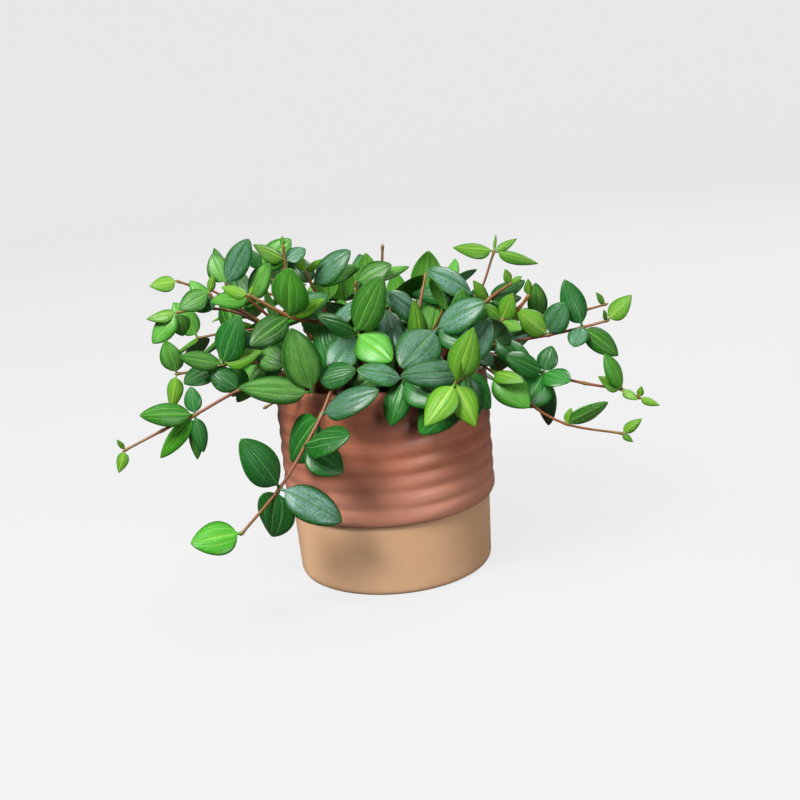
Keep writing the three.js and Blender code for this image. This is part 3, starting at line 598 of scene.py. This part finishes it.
# The stems seen from the front. Each row is a name, the thickness at the soil as a radius, the place
# in the soil, the joints that the stem passes, and its leaves: which joint a leaf grows from, how far
# its tip reaches from there along X, Y and Z, its breadth, its age, and for a few a turn about its
# length in degrees.
LAID_STEMS = [
    ["trail_front_left", 1.3, [-14, -38], [[-18, -47, 121], [-25, -59, 125], [-33, -68, 112],
     [-43, -76, 98], [-58, -84, 79], [-80, -90, 58]],
     [[3, 32, -10, 13, 20, silver], [3, -20, 14, -28, 25, deep], [4, 25, -20, 9, 22, deep],
     [4, 22, 2, -11, 20, deep], [5, -16, -8, 31, 20, deep], [5, 31, -8, -19, 20, silver],
     [5, -8, 6, -29, 24, deep], [6, -26, -8, 0, 20, green], [1, 24, 0, 9, 15, deep],
     [1, -20, 2, 9, 14, deep]]],
    ["shoot_front_right", 1.2, [36, -33], [[38, -40, 121], [44, -53, 129], [46, -68, 128],
     [38, -84, 127]],
     [[4, -18, -10, -19, 17, young], [4, 9, -8, -22, 16, young], [4, 11, -4, 29, 17, young],
     [4, 3, -9, 13, 4, young], [3, -36, -12, 4, 16, silver], [3, -28, -2, -31, 26, deep],
     [3, -1, -1, -28, 17, deep], [3, 13, 5, -23, 15, deep], [2, 17, -2, 23, 18, silver]]],
    ["front_centre", 1.2, [14, -22], [[24, -38, 130], [32, -52, 149]],
     [[2, -21, -18, -15, 24, silver], [2, 26, -10, 14, 20, silver], [2, 18, -6, -12, 16, deep],
     [1, -2, -10, 34, 12, young]]],
    ["front_rim", 1.1, [6, -40], [[10, -56, 124], [12, -64, 126]],
     [[2, -9, -9, -22, 15, deep], [2, -24, -4, 9, 16, silver], [2, 18, -8, -19, 20, deep]]],
    ["rim_right_front", 1.1, [42, -27], [[44, -32, 120], [52, -41, 127], [61, -48, 122]],
     [[3, 17, -14, -18, 19, green], [3, 4, -17, -13, 12, young]]],
    ["runner_right_low", 1.1, [51, -4], [[54, -9, 121], [64, -18, 125], [90, -36, 116], [112, -40, 109],
     [132, -42, 104], [141, -44, 99]],
     [[3, -24, -14, 11, 15, deep], [3, -13, -10, -16, 22, deep], [3, 12, -14, -3, 16, deep],
     [3, 6, 4, 14, 12, deep], [3, 3, -4, -32, 15, deep, 60], [5, -10, -4, 22, 13, green],
     [5, -12, -8, 7, 9, young], [5, 7, -4, -8, 6, young], [6, 11, -2, -5, 5, young],
     [6, 1, -2, 7, 4, young]]],
    ["runner_right_lowest", 1.1, [50, -16], [[51, -19, 120], [61, -31, 127], [78, -50, 105],
     [98, -58, 92], [127, -62, 85]],
     [[4, 24, -7, 5, 13, green, 60], [4, 3, 0, 9, 5, young], [5, 11, -2, 8, 6, young],
     [5, 7, -2, -3, 4, young]]],
    ["runner_right_high", 1.2, [36, 10], [[52, 4, 124], [68, -2, 127], [98, -8, 131], [117, -10, 134],
     [131, -12, 137]],
     [[3, 9, -6, 19, 16, silver], [3, -16, -4, 18, 15, young], [2, 32, -8, -2, 15, silver],
     [4, -13, -4, 26, 15, deep], [4, -11, -10, -8, 12, silver], [4, 19, -6, -17, 14, green],
     [5, 14, -2, 14, 12, young], [5, -2, -4, 7, 4, young]]],
    ["twig_right_high", 0.9, [28, 26], [[60, 26, 128], [97, 20, 134], [125, 16, 139], [136, 16, 141]],
     [[2, -2, -6, 24, 12, green], [4, -6, -2, 8, 5, young]]],
    ["thick_right_a", 1.5, [26, -4], [[44, -14, 130], [70, -24, 145], [79, -26, 151], [85, -28, 158]],
     [[2, 11, -10, -4, 9, young], [2, -9, -4, 11, 8, young], [2, 5, -4, 17, 12, young],
     [4, 0, -2, 10, 5, young]]],
    ["thick_right_b", 1.5, [20, 8], [[42, 2, 134], [65, -2, 153], [78, -6, 162]],
     [[3, -3, -2, 9, 6, young], [3, 6, -2, 5, 4, young], [2, -8, -4, 13, 7, young],
     [2, 23, 8, 8, 12, deep], [2, 20, 6, 2, 12, green]]],
    ["thin_right_c", 1.0, [16, 16], [[42, 14, 132], [61, 12, 154], [72, 14, 178]],
     [[3, -24, -4, 5, 12, young, 20], [3, 25, -2, -9, 9, young], [3, 14, 2, 6, 6, young],
     [3, 2, 2, 10, 2, young]]],
    ["top_middle", 1.2, [8, 12], [[34, 8, 130], [58, 2, 155]],
     [[2, -27, -6, 19, 19, silver], [2, -36, 6, 4, 14, deep]]],
    ["silver_centre", 1.2, [2, -6], [[14, -20, 132], [25, -30, 150]],
     [[2, -19, -14, 16, 17, silver], [2, -17, 4, 19, 15, silver]]],
    ["top_centre", 1.2, [-4, 6], [[-8, -2, 140], [-9, -10, 171]],
     [[2, 21, -4, 9, 16, green], [2, 31, 8, 5, 11, green]]],
    ["thick_left", 1.5, [-8, -12], [[-4, -30, 134], [-11, -40, 148], [-30, -44, 157], [-45, -46, 162],
     [-65, -50, 176]],
     [[2, 17, -12, 32, 20, green], [2, 18, -18, -13, 21, green], [2, -16, -14, -17, 19, silver],
     [2, -28, -14, 7, 15, deep], [4, 0, -14, 29, 22, green], [4, 18, -12, 7, 9, young],
     [4, -22, -14, -11, 16, green], [4, 21, 6, 9, 16, silver], [5, -14, -2, 6, 8, young],
     [5, 3, -2, 5, 3, young]]],
    ["rim_front_left", 1.2, [-28, -34], [[-32, -43, 122], [-35, -53, 126], [-37, -61, 123]],
     [[3, -7, -6, 37, 21, green], [3, -38, -6, 8, 16, green]]],
    ["upper_left", 1.2, [-30, 4], [[-48, -4, 140], [-69, -14, 168], [-80, -18, 178]],
     [[3, 16, -4, 24, 15, silver], [3, -5, -2, 18, 14, green], [2, 15, -8, 20, 15, green],
     [2, -22, -8, -2, 13, green], [3, -6, 14, 19, 8, green]]],
    ["upper_left_back", 1.1, [-22, 8], [[-38, 6, 140], [-52, 2, 169], [-62, 6, 181]],
     [[3, 19, -2, 16, 16, green], [3, -7, 2, 12, 9, deep]]],
    ["upper_left_shoot", 1.0, [-20, -2], [[-34, -8, 140], [-47, -14, 171], [-47, -12, 187],
     [-47, -12, 195]],
     [[3, -17, -8, 9, 11, young], [3, -11, 6, 3, 10, silver], [3, 12, 4, 5, 12, silver],
     [4, 0, 0, 6, 3, young]]],
    ["upper_mid_left", 1.1, [-12, 18], [[-24, 10, 140], [-34, 2, 170], [-37, 2, 178]],
     [[3, -4, -6, 12, 7, young], [3, 10, -4, 7, 5, young], [2, 24, -4, 18, 18, silver],
     [2, -11, 8, 21, 14, deep], [2, 29, 6, 8, 12, green]]],
    ["far_left", 1.1, [-36, -2], [[-54, -8, 136], [-66, -14, 156], [-85, -18, 168], [-90, -18, 174]],
     [[4, -17, -6, -6, 14, green], [4, 4, -2, 11, 5, young], [3, -18, 8, -3, 12, deep]]],
    ["far_left_low", 1.0, [-38, 6], [[-56, 2, 138], [-71, -6, 156], [-90, -10, 164], [-110, -12, 164]],
     [[4, -18, 0, -2, 10, young], [4, -18, -6, -13, 15, green], [4, 1, -2, -14, 12, green],
     [3, -12, 6, 16, 10, green]]],
    ["left_mid", 1.2, [-38, -14], [[-48, -26, 134], [-66, -36, 142], [-85, -40, 138]],
     [[3, -22, -6, 8, 11, green], [3, 13, -6, 27, 19, deep], [3, 18, -10, 12, 12, young],
     [2, 16, -12, -6, 15, green], [3, -5, -2, 14, 6, young], [3, -9, 0, 10, 4, young]]],
    ["left_low", 1.2, [-42, -8], [[-52, -18, 128], [-78, -26, 135], [-91, -28, 134], [-112, -30, 133]],
     [[4, -3, -4, 20, 13, green], [4, -6, -2, -20, 10, young], [3, -17, -6, -11, 14, deep],
     [2, -5, -4, -18, 15, deep]]],
    ["trail_left", 1.2, [-42, -22], [[-45, -26, 121], [-54, -33, 126], [-77, -44, 124], [-102, -50, 114],
     [-120, -54, 108], [-141, -58, 100]],
     [[3, -20, 4, 4, 14, deep], [4, 2, -2, -21, 9, deep], [4, -28, -10, 5, 14, green],
     [4, -19, -4, -27, 12, green], [4, 4, 2, -27, 9, green], [6, -5, -2, -12, 7, young],
     [6, -3, -2, 7, 3, young], [4, -1, 4, 15, 10, deep]]],
    ["twig_far_left", 0.8, [-44, 8], [[-62, 9, 142], [-86, 6, 168], [-103, 4, 176], [-110, 4, 179]],
     [[4, -16, -3, -1, 11, young]]],
    ["cut_stub_left", 1.0, [-34, -20], [[-36, -34, 120.5], [-40, -42, 122.5], [-50, -46, 120],
     [-64, -47, 113.8]], []],
    ["cut_stem_back", 1.2, [0, 23], [[4, 17, 150], [8, 12, 187]], []],
    ["cut_stem_front", 1.2, [15, -9], [[21, -19, 140], [25, -24, 157], [30, -18, 173]], []],
]

# The stems at the back, under the canopy and in the crown follow a rule. Each group fans its stems
# over a range of bearings (degrees from +X) and draws the rest within ranges. The form gives the share
# of the way outwards and of the climb at each joint, and the last joint droops on top of that.
STEM_GROUPS = [
    {"name": "back", "count": 11, "first bearing": 18, "bearing step": 14.4, "wobble": 4,
     "thickness": 1.15, "soil radii": [42, 30, 36], "reach": [84, 114],
     "crest": [[124, 138], [136, 154], [136, 154], [150, 168]], "droop": [[12, 36], [0, 14]],
     "form": [[0.14, 0.68], [0.36, 0.96], [0.7, 1], [1, 1]], "whorls": [3, 2, 3],
     "ages": [silver, green, deep, green], "young tip": 0.4},
    {"name": "under", "count": 4, "first bearing": 198, "bearing step": 46, "wobble": 5,
     "thickness": 1.15, "soil radii": [34, 28, 26, 30], "reach": [62, 72], "crest": [[128, 137]],
     "droop": [[0, 2]], "form": [[0.2, 0.55], [0.55, 0.9], [1, 1]], "whorls": [3, 3],
     "ages": [deep, silver, green], "young tip": 0},
    {"name": "crown", "count": 6, "first bearing": 60, "bearing step": 137, "wobble": 12,
     "thickness": 1.2, "soil radii": [6, 30, 22, 12, 26, 30], "reach": [14, 42], "crest": [[140, 152]],
     "droop": [[0, 3]], "form": [[0.1, 0.3], [0.5, 0.65], [1, 1]], "whorls": [3, 3],
     "ages": [deep, silver, green], "young tip": 0},
]
DRAWS_PER_STEM = 60
NATURAL_TURN = 15
seed_value = 20


def next_random():
    """Even random numbers from 0 to 1 that come out the same every time."""
    global seed_value
    seed_value = (seed_value * 16807) % 2147483647
    return seed_value / 2147483647


def draw(low, high):
    return low + (high - low) * next_random()


def unit(vector):
    return vector / norm(vector)


def curve_point(knots, k, t):
    """A point on the smooth curve between knots k and k + 1."""
    a, b, c, d = knots[k - 1:k + 3]
    return 0.5 * (2 * b + (c - a) * t + (2 * a - 5 * b + 4 * c - d) * t * t
                  + (3 * b - a - 3 * c + d) * t * t * t)


def new_stem(name, thickness, root, joints):
    """A stem's smooth course from its foot in the soil through its joints."""
    foot, collar = [*root, SOIL_TOP - HOLE_DEPTH + 1.0], [*root, SOIL_TOP]
    knots = [np.array(place, float) for place in (foot, collar, *joints)]
    knots.append(2 * knots[-1] - knots[-2])
    line = [knots[0]]
    for k in range(1, len(knots) - 2):
        steps = ceil(norm(knots[k + 1] - knots[k]) / STEM_STEP)
        line += [curve_point(knots, k, step / steps) for step in range(steps)]
    line.append(knots[-2])
    return {"name": name, "thickness": thickness, "knots": knots, "line": np.array(line),
            "joints": len(joints)}


def stem_forward(stem, joint):
    """The way the stem runs at one of its joints, counted from 1."""
    knots = stem["knots"]
    ahead = curve_point(knots, joint + 1, 0.1) if joint < stem["joints"] else knots[joint + 1]
    return unit(ahead - curve_point(knots, joint, 0.9))


def at_wall(places, room):
    """Which of the places lie in the pot's wall, or closer to it than the room."""
    radius = np.hypot(places[:, 0], places[:, 1])
    return ((radius > WALL_INNER - room) & (radius < GLAZE_RADIUS + room)
            & (places[:, 2] < RIM_HEIGHT + room))


def stem_has_room(stem, others):
    """Whether a stem stays clear of the others and of the pot's wall."""
    line = stem["line"]
    for other in others:
        room = stem["thickness"] + other["thickness"] + STEM_STEM_GAP
        offsets = line[:, None, :] - other["line"][None, :, :]
        if (offsets * offsets).sum(2).min() < room * room:
            return False
    return not at_wall(line, stem["thickness"] + STEM_POT_GAP).any()


def group_stem(group, index):
    """One stem of a group, drawn by its rule."""
    wobble = draw(-group["wobble"], group["wobble"])
    bearing = radians(group["first bearing"] + group["bearing step"] * index + wobble)
    reach = draw(*group["reach"])
    half = 0 if index < group["count"] / 2 else 2
    crest = draw(*group["crest"][(index % 2 + half) % len(group["crest"])])
    flat = 1 if index % 2 or index < 2 or index > 8 else 0
    droop = draw(*group["droop"][flat % len(group["droop"])])
    sweep = draw(-0.18, 0.18)
    start = group["soil radii"][index % len(group["soil radii"])]

    def place(out, up, joint):
        radius = start + (reach - start) * out
        turn = bearing + sweep * joint / (len(group["form"]) + 1)
        return [radius * cos(turn), radius * sin(turn), SOIL_TOP + (crest - SOIL_TOP) * up]

    joints = [place(out, up, k + 1) for k, (out, up) in enumerate(group["form"])]
    joints[-1][2] -= droop
    stem = new_stem(f"{group['name']}_{index + 1}", group["thickness"], place(0, 0, 0)[:2], joints)
    stem["outward"] = np.array([cos(bearing), sin(bearing), 0])
    return stem


def group_leaves(group, stem):
    """The whorls of leaves at a drawn stem's joints."""
    wishes = []
    first_whorl = stem["joints"] - len(group["whorls"])
    for whorl, count in enumerate(group["whorls"]):
        joint = first_whorl + whorl + 1
        last = joint == stem["joints"]
        forward = stem_forward(stem, joint)
        up = unit(UPWARD - forward * forward[2])
        side = np.cross(forward, up)
        twist = (pi / 6 if whorl % 2 else pi / 2) + draw(-0.3, 0.3)
        for m in range(count):
            around = twist + m * 2 * pi / count
            length = draw(*LEAF_LENGTHS) * (TIP_LEAF_SHARE if last else 1)
            ahead = draw(0.25, 0.7)
            reach = side * cos(around) + up * sin(around) + forward * ahead + UPWARD * 0.12
            age = group["ages"][int(next_random() * len(group["ages"]))]
            if last and next_random() < group["young tip"]:
                age = young
            breadth = length * draw(*BREADTH_SHARES)
            wishes.append((joint, unit(reach) * length, breadth, age, draw(-10, 10)))
    return wishes


class Leaf:
    """A leaf as it is laid: its base, its frame and the points over its blade that must stay free."""

    ALONG = np.repeat(0.14 + 0.086 * np.arange(11), 7)
    ACROSS = np.tile(np.arange(-3, 4) / 3, 11)

    def __init__(self, base, direction, length, light, breadth, age, turn, stem, joint):
        face = unit(light - direction * np.dot(light, direction))
        side = np.cross(direction, face)
        angle = radians(turn)
        self.base, self.chord, self.length, self.breadth = base, direction, length, breadth
        self.age, self.bend, self.stem, self.joint = age, age["bend"], stem, joint
        self.face = face * cos(angle) + side * sin(angle)
        self.side = np.cross(direction, self.face)
        self.samples = self.place(self.ALONG, self.ACROSS)
        self.centre = self.place(np.array([0.5]), np.array([0.0]))[0]

    def half_width(self, along):
        blade = 0.5 * self.breadth * outline_share(along, self.age["point"])
        return np.where(along <= PETIOLE_SHARE, PETIOLE_RADIUS, blade)

    def place(self, along, across):
        """Where shares of the leaf's length and half width lie."""
        width = self.half_width(along)
        drop = -self.age["cup"] * width * across * across
        forward, rise = arched(self.bend, self.length, along, drop)
        return (self.base + forward[:, None] * self.chord + rise[:, None] * self.face
                + (width * across)[:, None] * self.side)

    def meets(self, places, gap, margin):
        """Which of the places lie closer to the blade than the gap."""
        offset = places - self.base
        forward = offset @ self.chord
        across = np.abs(offset @ self.side)
        half_sine = sin(self.bend / 2)
        scale = self.length / (2 * half_sine)
        angle = np.arcsin(np.clip(forward / scale - half_sine, -1, 1))
        width = self.half_width(np.minimum(1, angle / self.bend + 0.5))
        inside = np.minimum(across, width)
        surface = (scale * (np.cos(angle) - cos(self.bend / 2))
                   - self.age["cup"] * inside * inside / np.maximum(width, 0.3))
        return ((forward >= -0.5) & (forward <= self.length + 1) & (across <= width + margin)
                & (np.abs(offset @ self.face - surface) < gap))

    def clears_pot(self):
        radius = np.hypot(self.samples[:, 0], self.samples[:, 1])
        height = self.samples[:, 2]
        in_soil = (radius < WALL_INNER) & (height < SOIL_TOP + POT_GAP)
        return not (at_wall(self.samples, POT_GAP) | in_soil | (height <= POT_GAP)).any()

    def clears_stems(self, places, thickness, owner):
        near = norm(places - self.centre, axis=1) < self.length * 0.62 + 3
        near &= ~((owner == self.stem) & (norm(places - self.base, axis=1) < JOINT_CLEAR))
        thickness = thickness[near]
        return not self.meets(places[near], thickness + STEM_LEAF_GAP, thickness + OUTLINE_MARGIN).any()

    def clears_leaf(self, other):
        if norm(self.centre - other.centre) > (self.length + other.length) * 0.55 + 2:
            return True
        start = 0
        if self.stem == other.stem:
            start = WHORL_SHARE if self.joint == other.joint else STEM_SHARE
        free = self.ALONG >= start
        return not (other.meets(self.samples[free], LEAF_GAP, OUTLINE_MARGIN).any()
                    or self.meets(other.samples[free], LEAF_GAP, OUTLINE_MARGIN).any())


# A leaf that would cross its neighbours bends clear of them, in widening rings about the way it was
# laid, then a little smaller, and is left off where there is no room at all
BEND_RINGS = [(1, [0, 8, 16, 26, 38]), (0.85, [0, 18, 36]), (0.7, [0, 18, 36])]
BEND_WAYS = 6


def bent_ways(chord, face):
    """Each size and direction in which a leaf is tried."""
    side = np.cross(chord, face)
    for size, angles in BEND_RINGS:
        for degrees in angles:
            angle = radians(degrees)
            for way in range(BEND_WAYS if degrees else 1):
                around = way * 2 * pi / BEND_WAYS
                yield size, (chord * cos(angle) + face * cos(around) * sin(angle)
                             + side * sin(around) * sin(angle))


def place_leaf(stem, light, joint, reach, breadth, age, turn):
    """Lays a leaf in the first of its ways that is free."""
    base = stems[stem]["knots"][joint + 1]
    length = norm(reach)
    chord = reach / length
    for size, direction in bent_ways(chord, unit(light - chord * np.dot(light, chord))):
        leaf = Leaf(base, direction, length * size, light, breadth * size, age, turn, stem, joint)
        if (leaf.clears_pot() and leaf.clears_stems(*stem_places)
                and all(leaf.clears_leaf(other) for other in leaves)):
            leaves.append(leaf)
            return


stems, wishes = [], []
for name, thickness, root, joints, laid_leaves in LAID_STEMS:
    for joint, x, y, z, breadth, age, *turn in laid_leaves:
        turn = sum(turn) + draw(-NATURAL_TURN, NATURAL_TURN)
        wishes.append((len(stems), FRONT_LIGHT, joint, np.array([x, y, z], float), breadth, age, turn))
    stems.append(new_stem(name, thickness, root, joints))
for group in STEM_GROUPS:
    for index in range(group["count"]):
        stem = group_stem(group, index)
        tries = 1
        while tries < DRAWS_PER_STEM and not stem_has_room(stem, stems):
            stem = group_stem(group, index)
            tries += 1
        light = stem["outward"] * 0.5 + UPWARD * 0.85
        if group["name"] == "under":
            light = FRONT_LIGHT * 0.8 + stem["outward"] * 0.3
        wishes += [(len(stems), light, *wish) for wish in group_leaves(group, stem)]
        stems.append(stem)
lengths = [len(stem["line"]) for stem in stems]
stem_places = (np.concatenate([stem["line"] for stem in stems]),
               np.repeat([stem["thickness"] for stem in stems], lengths),
               np.repeat(range(len(stems)), lengths))
leaves = []
for wish in wishes:
    place_leaf(*wish)


# The skin is woody at the soil, ruddy along the way and fresher towards the tip and the joints
stem_skin, tree, place = new_finish("stem_skin")
share = add_node(tree, "ShaderNodeAttribute", attribute_name="stem_share")["Fac"]
knuckle = add_node(tree, "ShaderNodeAttribute", attribute_name="stem_joint")["Fac"]
mottle = place.speckle(300, 4.0, 0.6)
ageing = (mottle - 0.5) * 0.5 + share
ruddy = ageing.fade(0.15, 0.6).blend("452b17", "7c4220")
fresh = (ageing.fade(0.75, 1.1) * 0.5).reckon("MAXIMUM", knuckle * 0.4)
cover(stem_skin, {
    "Base Color": fresh.blend(ruddy, "667426"), "Roughness": mottle * 0.2 + 0.36,
    "Normal": place.speckle(1100, 3.0).bump(0.4, 0.0003)})

growth = {"Stem sides": 10, "Leaf ripple": 0.0022, "Ripples per metre": 55.0, "Leaf forms": leaf_forms,
          "Stem skin": stem_skin, **leaf_finishes}
tree, given = new_growth_rule("leafy_stem", growth)

# What each point of a leafy stem carries, on its way up the stem or at the base of a leaf
CARRIED = {"is_leaf": "BOOLEAN", "radius": "FLOAT", "stem_share": "FLOAT", "stem_joint": "FLOAT",
           "leaf_age": "INT", "leaf_draw": "FLOAT", "leaf_face": "FLOAT_VECTOR",
           "leaf_chord": "FLOAT_VECTOR", "leaf_size": "FLOAT_VECTOR"}
UNSAID = {"BOOLEAN": False, "FLOAT": 0.0, "INT": -1, "FLOAT_VECTOR": (0, 0, 0)}


def kept(label):
    """A value that the points of a leafy stem carry."""
    return add_node(tree, "GeometryNodeInputNamedAttribute", {"Name": label}, data_type=CARRIED[label])


split = add_node(tree, "GeometryNodeSeparateGeometry", {
    "Geometry": given["Geometry"], "Selection": kept("is_leaf")}, domain="POINT")
course = add_node(tree, "GeometryNodeMeshToCurve", {"Mesh": split["Inverted"]})
section = add_node(tree, "GeometryNodeCurvePrimitiveCircle", {
    "Resolution": given["Stem sides"], "Radius": 1.0})
skinned = add_node(tree, "GeometryNodeCurveToMesh", {
    "Curve": course, "Profile Curve": section, "Scale": kept("radius"), "Fill Caps": True})
forms = add_node(tree, "GeometryNodeCollectionInfo", {
    "Collection": given["Leaf forms"], "Separate Children": True, "Reset Children": True})
facing = add_node(tree, "FunctionNodeAxesToRotation", {
    "Primary Axis": kept("leaf_face"), "Secondary Axis": kept("leaf_chord")},
    primary_axis="Z", secondary_axis="X")
grown = add_node(tree, "GeometryNodeInstanceOnPoints", {
    "Points": split, "Instance": forms, "Pick Instance": True, "Instance Index": kept("leaf_age"),
    "Rotation": facing, "Scale": kept("leaf_size")})
blades = add_node(tree, "GeometryNodeRealizeInstances", {0: grown})
ripple = add_node(tree, "ShaderNodeTexNoise", {
    "Vector": add_node(tree, "GeometryNodeInputPosition"), "W": kept("leaf_draw") * 20.0,
    "Scale": given["Ripples per metre"], "Detail": 1.0}, noise_dimensions="4D")
swing = (ripple - 0.5) * given["Leaf ripple"]
shape = add_node(tree, "GeometryNodeSetPosition", {
    "Geometry": blades, "Offset": kept("leaf_face").scaled(swing)})
for kind, label in enumerate(leaf_finishes):
    of_age = add_node(tree, "FunctionNodeCompare", {2: kept("leaf_age"), 3: kind},
                      data_type="INT", operation="EQUAL")
    shape = coat(shape, given[label], of_age)
whole = add_node(tree, "GeometryNodeJoinGeometry", {0: [coat(skinned, given["Stem skin"]), shape]})
smooth = add_node(tree, "GeometryNodeSetShadeSmooth", {"Geometry": whole})
add_node(tree, "NodeGroupOutput", {0: smooth})


def stem_course(stem):
    """Points down the middle of a stem, each with its place and what it carries."""
    knots, joints, course = stem["knots"], stem["joints"], []

    def add_point(place, radius, share, knuckle):
        course.append({"place": place, "radius": radius * MM, "stem_share": share, "stem_joint": knuckle})

    add_point(knots[0], stem["thickness"], 0.0, 0.0)
    for k in range(1, joints + 1):
        steps = max(6, ceil(norm(knots[k + 1] - knots[k]) / SKIN_STEP))
        for step in range(steps + (k == joints)):
            place = curve_point(knots, k, step / steps)
            share = (k - 1 + step / steps) / joints
            away = min(norm(place - knot) for knot in knots[2:-1])
            knuckle = exp(-(away / KNUCKLE_REACH) ** 2)
            radius = max(THINNEST_STEM, stem["thickness"] * (1 - STEM_TAPER * share))
            radius *= 0.92 + 0.4 * knuckle
            add_point(place, radius, share, knuckle)
    blunt_end = [(0.7, radius * 0.75), (1.3, THINNEST_STEM * 0.45), (1.75, THINNEST_STEM * 0.15)]
    for ahead, radius in blunt_end:
        add_point(knots[-2] + stem_forward(stem, joints) * ahead, radius, 1.0, 0.6)
    return course


for k, stem in enumerate(stems):
    points = stem_course(stem)
    links = [(i, i + 1) for i in range(len(points) - 1)]
    points += [
        {"place": leaf.base, "is_leaf": True, "leaf_age": leaf.age["kind"], "leaf_draw": draw(0, 1),
         "leaf_face": leaf.face, "leaf_chord": leaf.chord,
         "leaf_size": (leaf.length * MM, leaf.breadth * MM, leaf.length * MM)}
        for leaf in leaves if leaf.stem == k]
    piece = new_piece(f"leafy_{stem['name']}", [point["place"] for point in points], links, [])
    for label, kind in CARRIED.items():
        layer = piece.data.attributes.new(label, kind, "POINT").data
        values = np.array([point.get(label, UNSAID[kind]) for point in points]).ravel().tolist()
        layer.foreach_set("vector" if kind == "FLOAT_VECTOR" else "value", values)
    run_rule(piece, tree, growth)
    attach(piece, "root")
    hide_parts(f"stem_{stem['name']}")
for form in list(leaf_forms.objects):
    bpy.data.objects.remove(form)
bpy.data.collections.remove(leaf_forms)


# Studio: a pale round floor that curves up all around. A large soft light stands high on the front
# left, with a weak one low on the front right, one at the back right and a wide one overhead.

FLOOR_REACH = 2200
CURVE_RADIUS = 900
PAPER_TOP = 2600

curve = []
for step in range(8, -1, -1):
    angle = 0.5 * pi * step / 8
    curve.append((FLOOR_REACH + CURVE_RADIUS * sin(angle), CURVE_RADIUS * (1 - cos(angle))))
wall = FLOOR_REACH + CURVE_RADIUS
floor_profile = [(0, -12), (wall + 20, -12), (wall + 20, PAPER_TOP), (wall, PAPER_TOP), *curve, (0, 0)]
floor = turned_piece("studio_floor", floor_profile, 96)
paper, tree, _ = new_finish("pale_paper")
seen_straight = add_node(tree, "ShaderNodeLightPath")["Is Camera Ray"]
cover(paper, {
    "Base Color": (0.06, 0.06, 0.06, 1.0), "Roughness": 1.0, "Specular IOR Level": 0.0,
    "Emission Color": (1.0, 1.0, 1.0, 1.0), "Emission Strength": seen_straight * 0.74 + 0.04})
floor.data.materials.append(paper)

# Each soft light's name, place and height of aim in metres, breadth and power
SOFT_LIGHTS = [
    ("front_left_softbox", (-0.72, -0.88, 1.4), 0.1, 0.75, 57),
    ("front_fill", (0.9, -1.3, 0.5), 0.08, 0.6, 11),
    ("back_rim", (0.9, 1.1, 1.1), 0.12, 0.6, 12),
    ("overhead", (0.1, 0.1, 1.6), 0.1, 1.0, 8),
]
for name, spot, aim_height, breadth, power in SOFT_LIGHTS:
    lamp = bpy.data.lights.new(name, "AREA")
    lamp.size = breadth
    lamp.energy = power
    light = set_out(name, lamp)
    light.location = spot
    light.rotation_euler = (Vector((0, 0, aim_height)) - Vector(spot)).to_track_quat("-Z", "Y").to_euler()
    light.visible_camera = False
world = bpy.data.worlds.new("studio_air")
world.use_nodes = True
air = world.node_tree.nodes["Background"].inputs
air[0].default_value = (1.0, 1.0, 1.0, 1.0)
air[1].default_value = 0.045
bpy.context.scene.world = world
bpy.context.scene.view_settings.view_transform = "Standard"

# The camera looks slightly down from the front, and is turned a little about its own axis
ELEVATION = radians(17.71)
ROLL = radians(5.25)
DISTANCE = 0.704
AIM_HEIGHT = 0.060
lens = bpy.data.cameras.new("camera")
lens.sensor_width = 36
lens.lens = 53.06
lens.shift_x = 0.0144
lens.shift_y = 0.0801
camera = set_out("camera", lens)
camera.matrix_world = (Matrix.Translation((0, 0, AIM_HEIGHT)) @ Matrix.Rotation(pi / 2 - ELEVATION, 4, "X")
                       @ Matrix.Rotation(-ROLL, 4, "Z") @ Matrix.Translation((0, 0, DISTANCE)))
bpy.context.scene.camera = camera
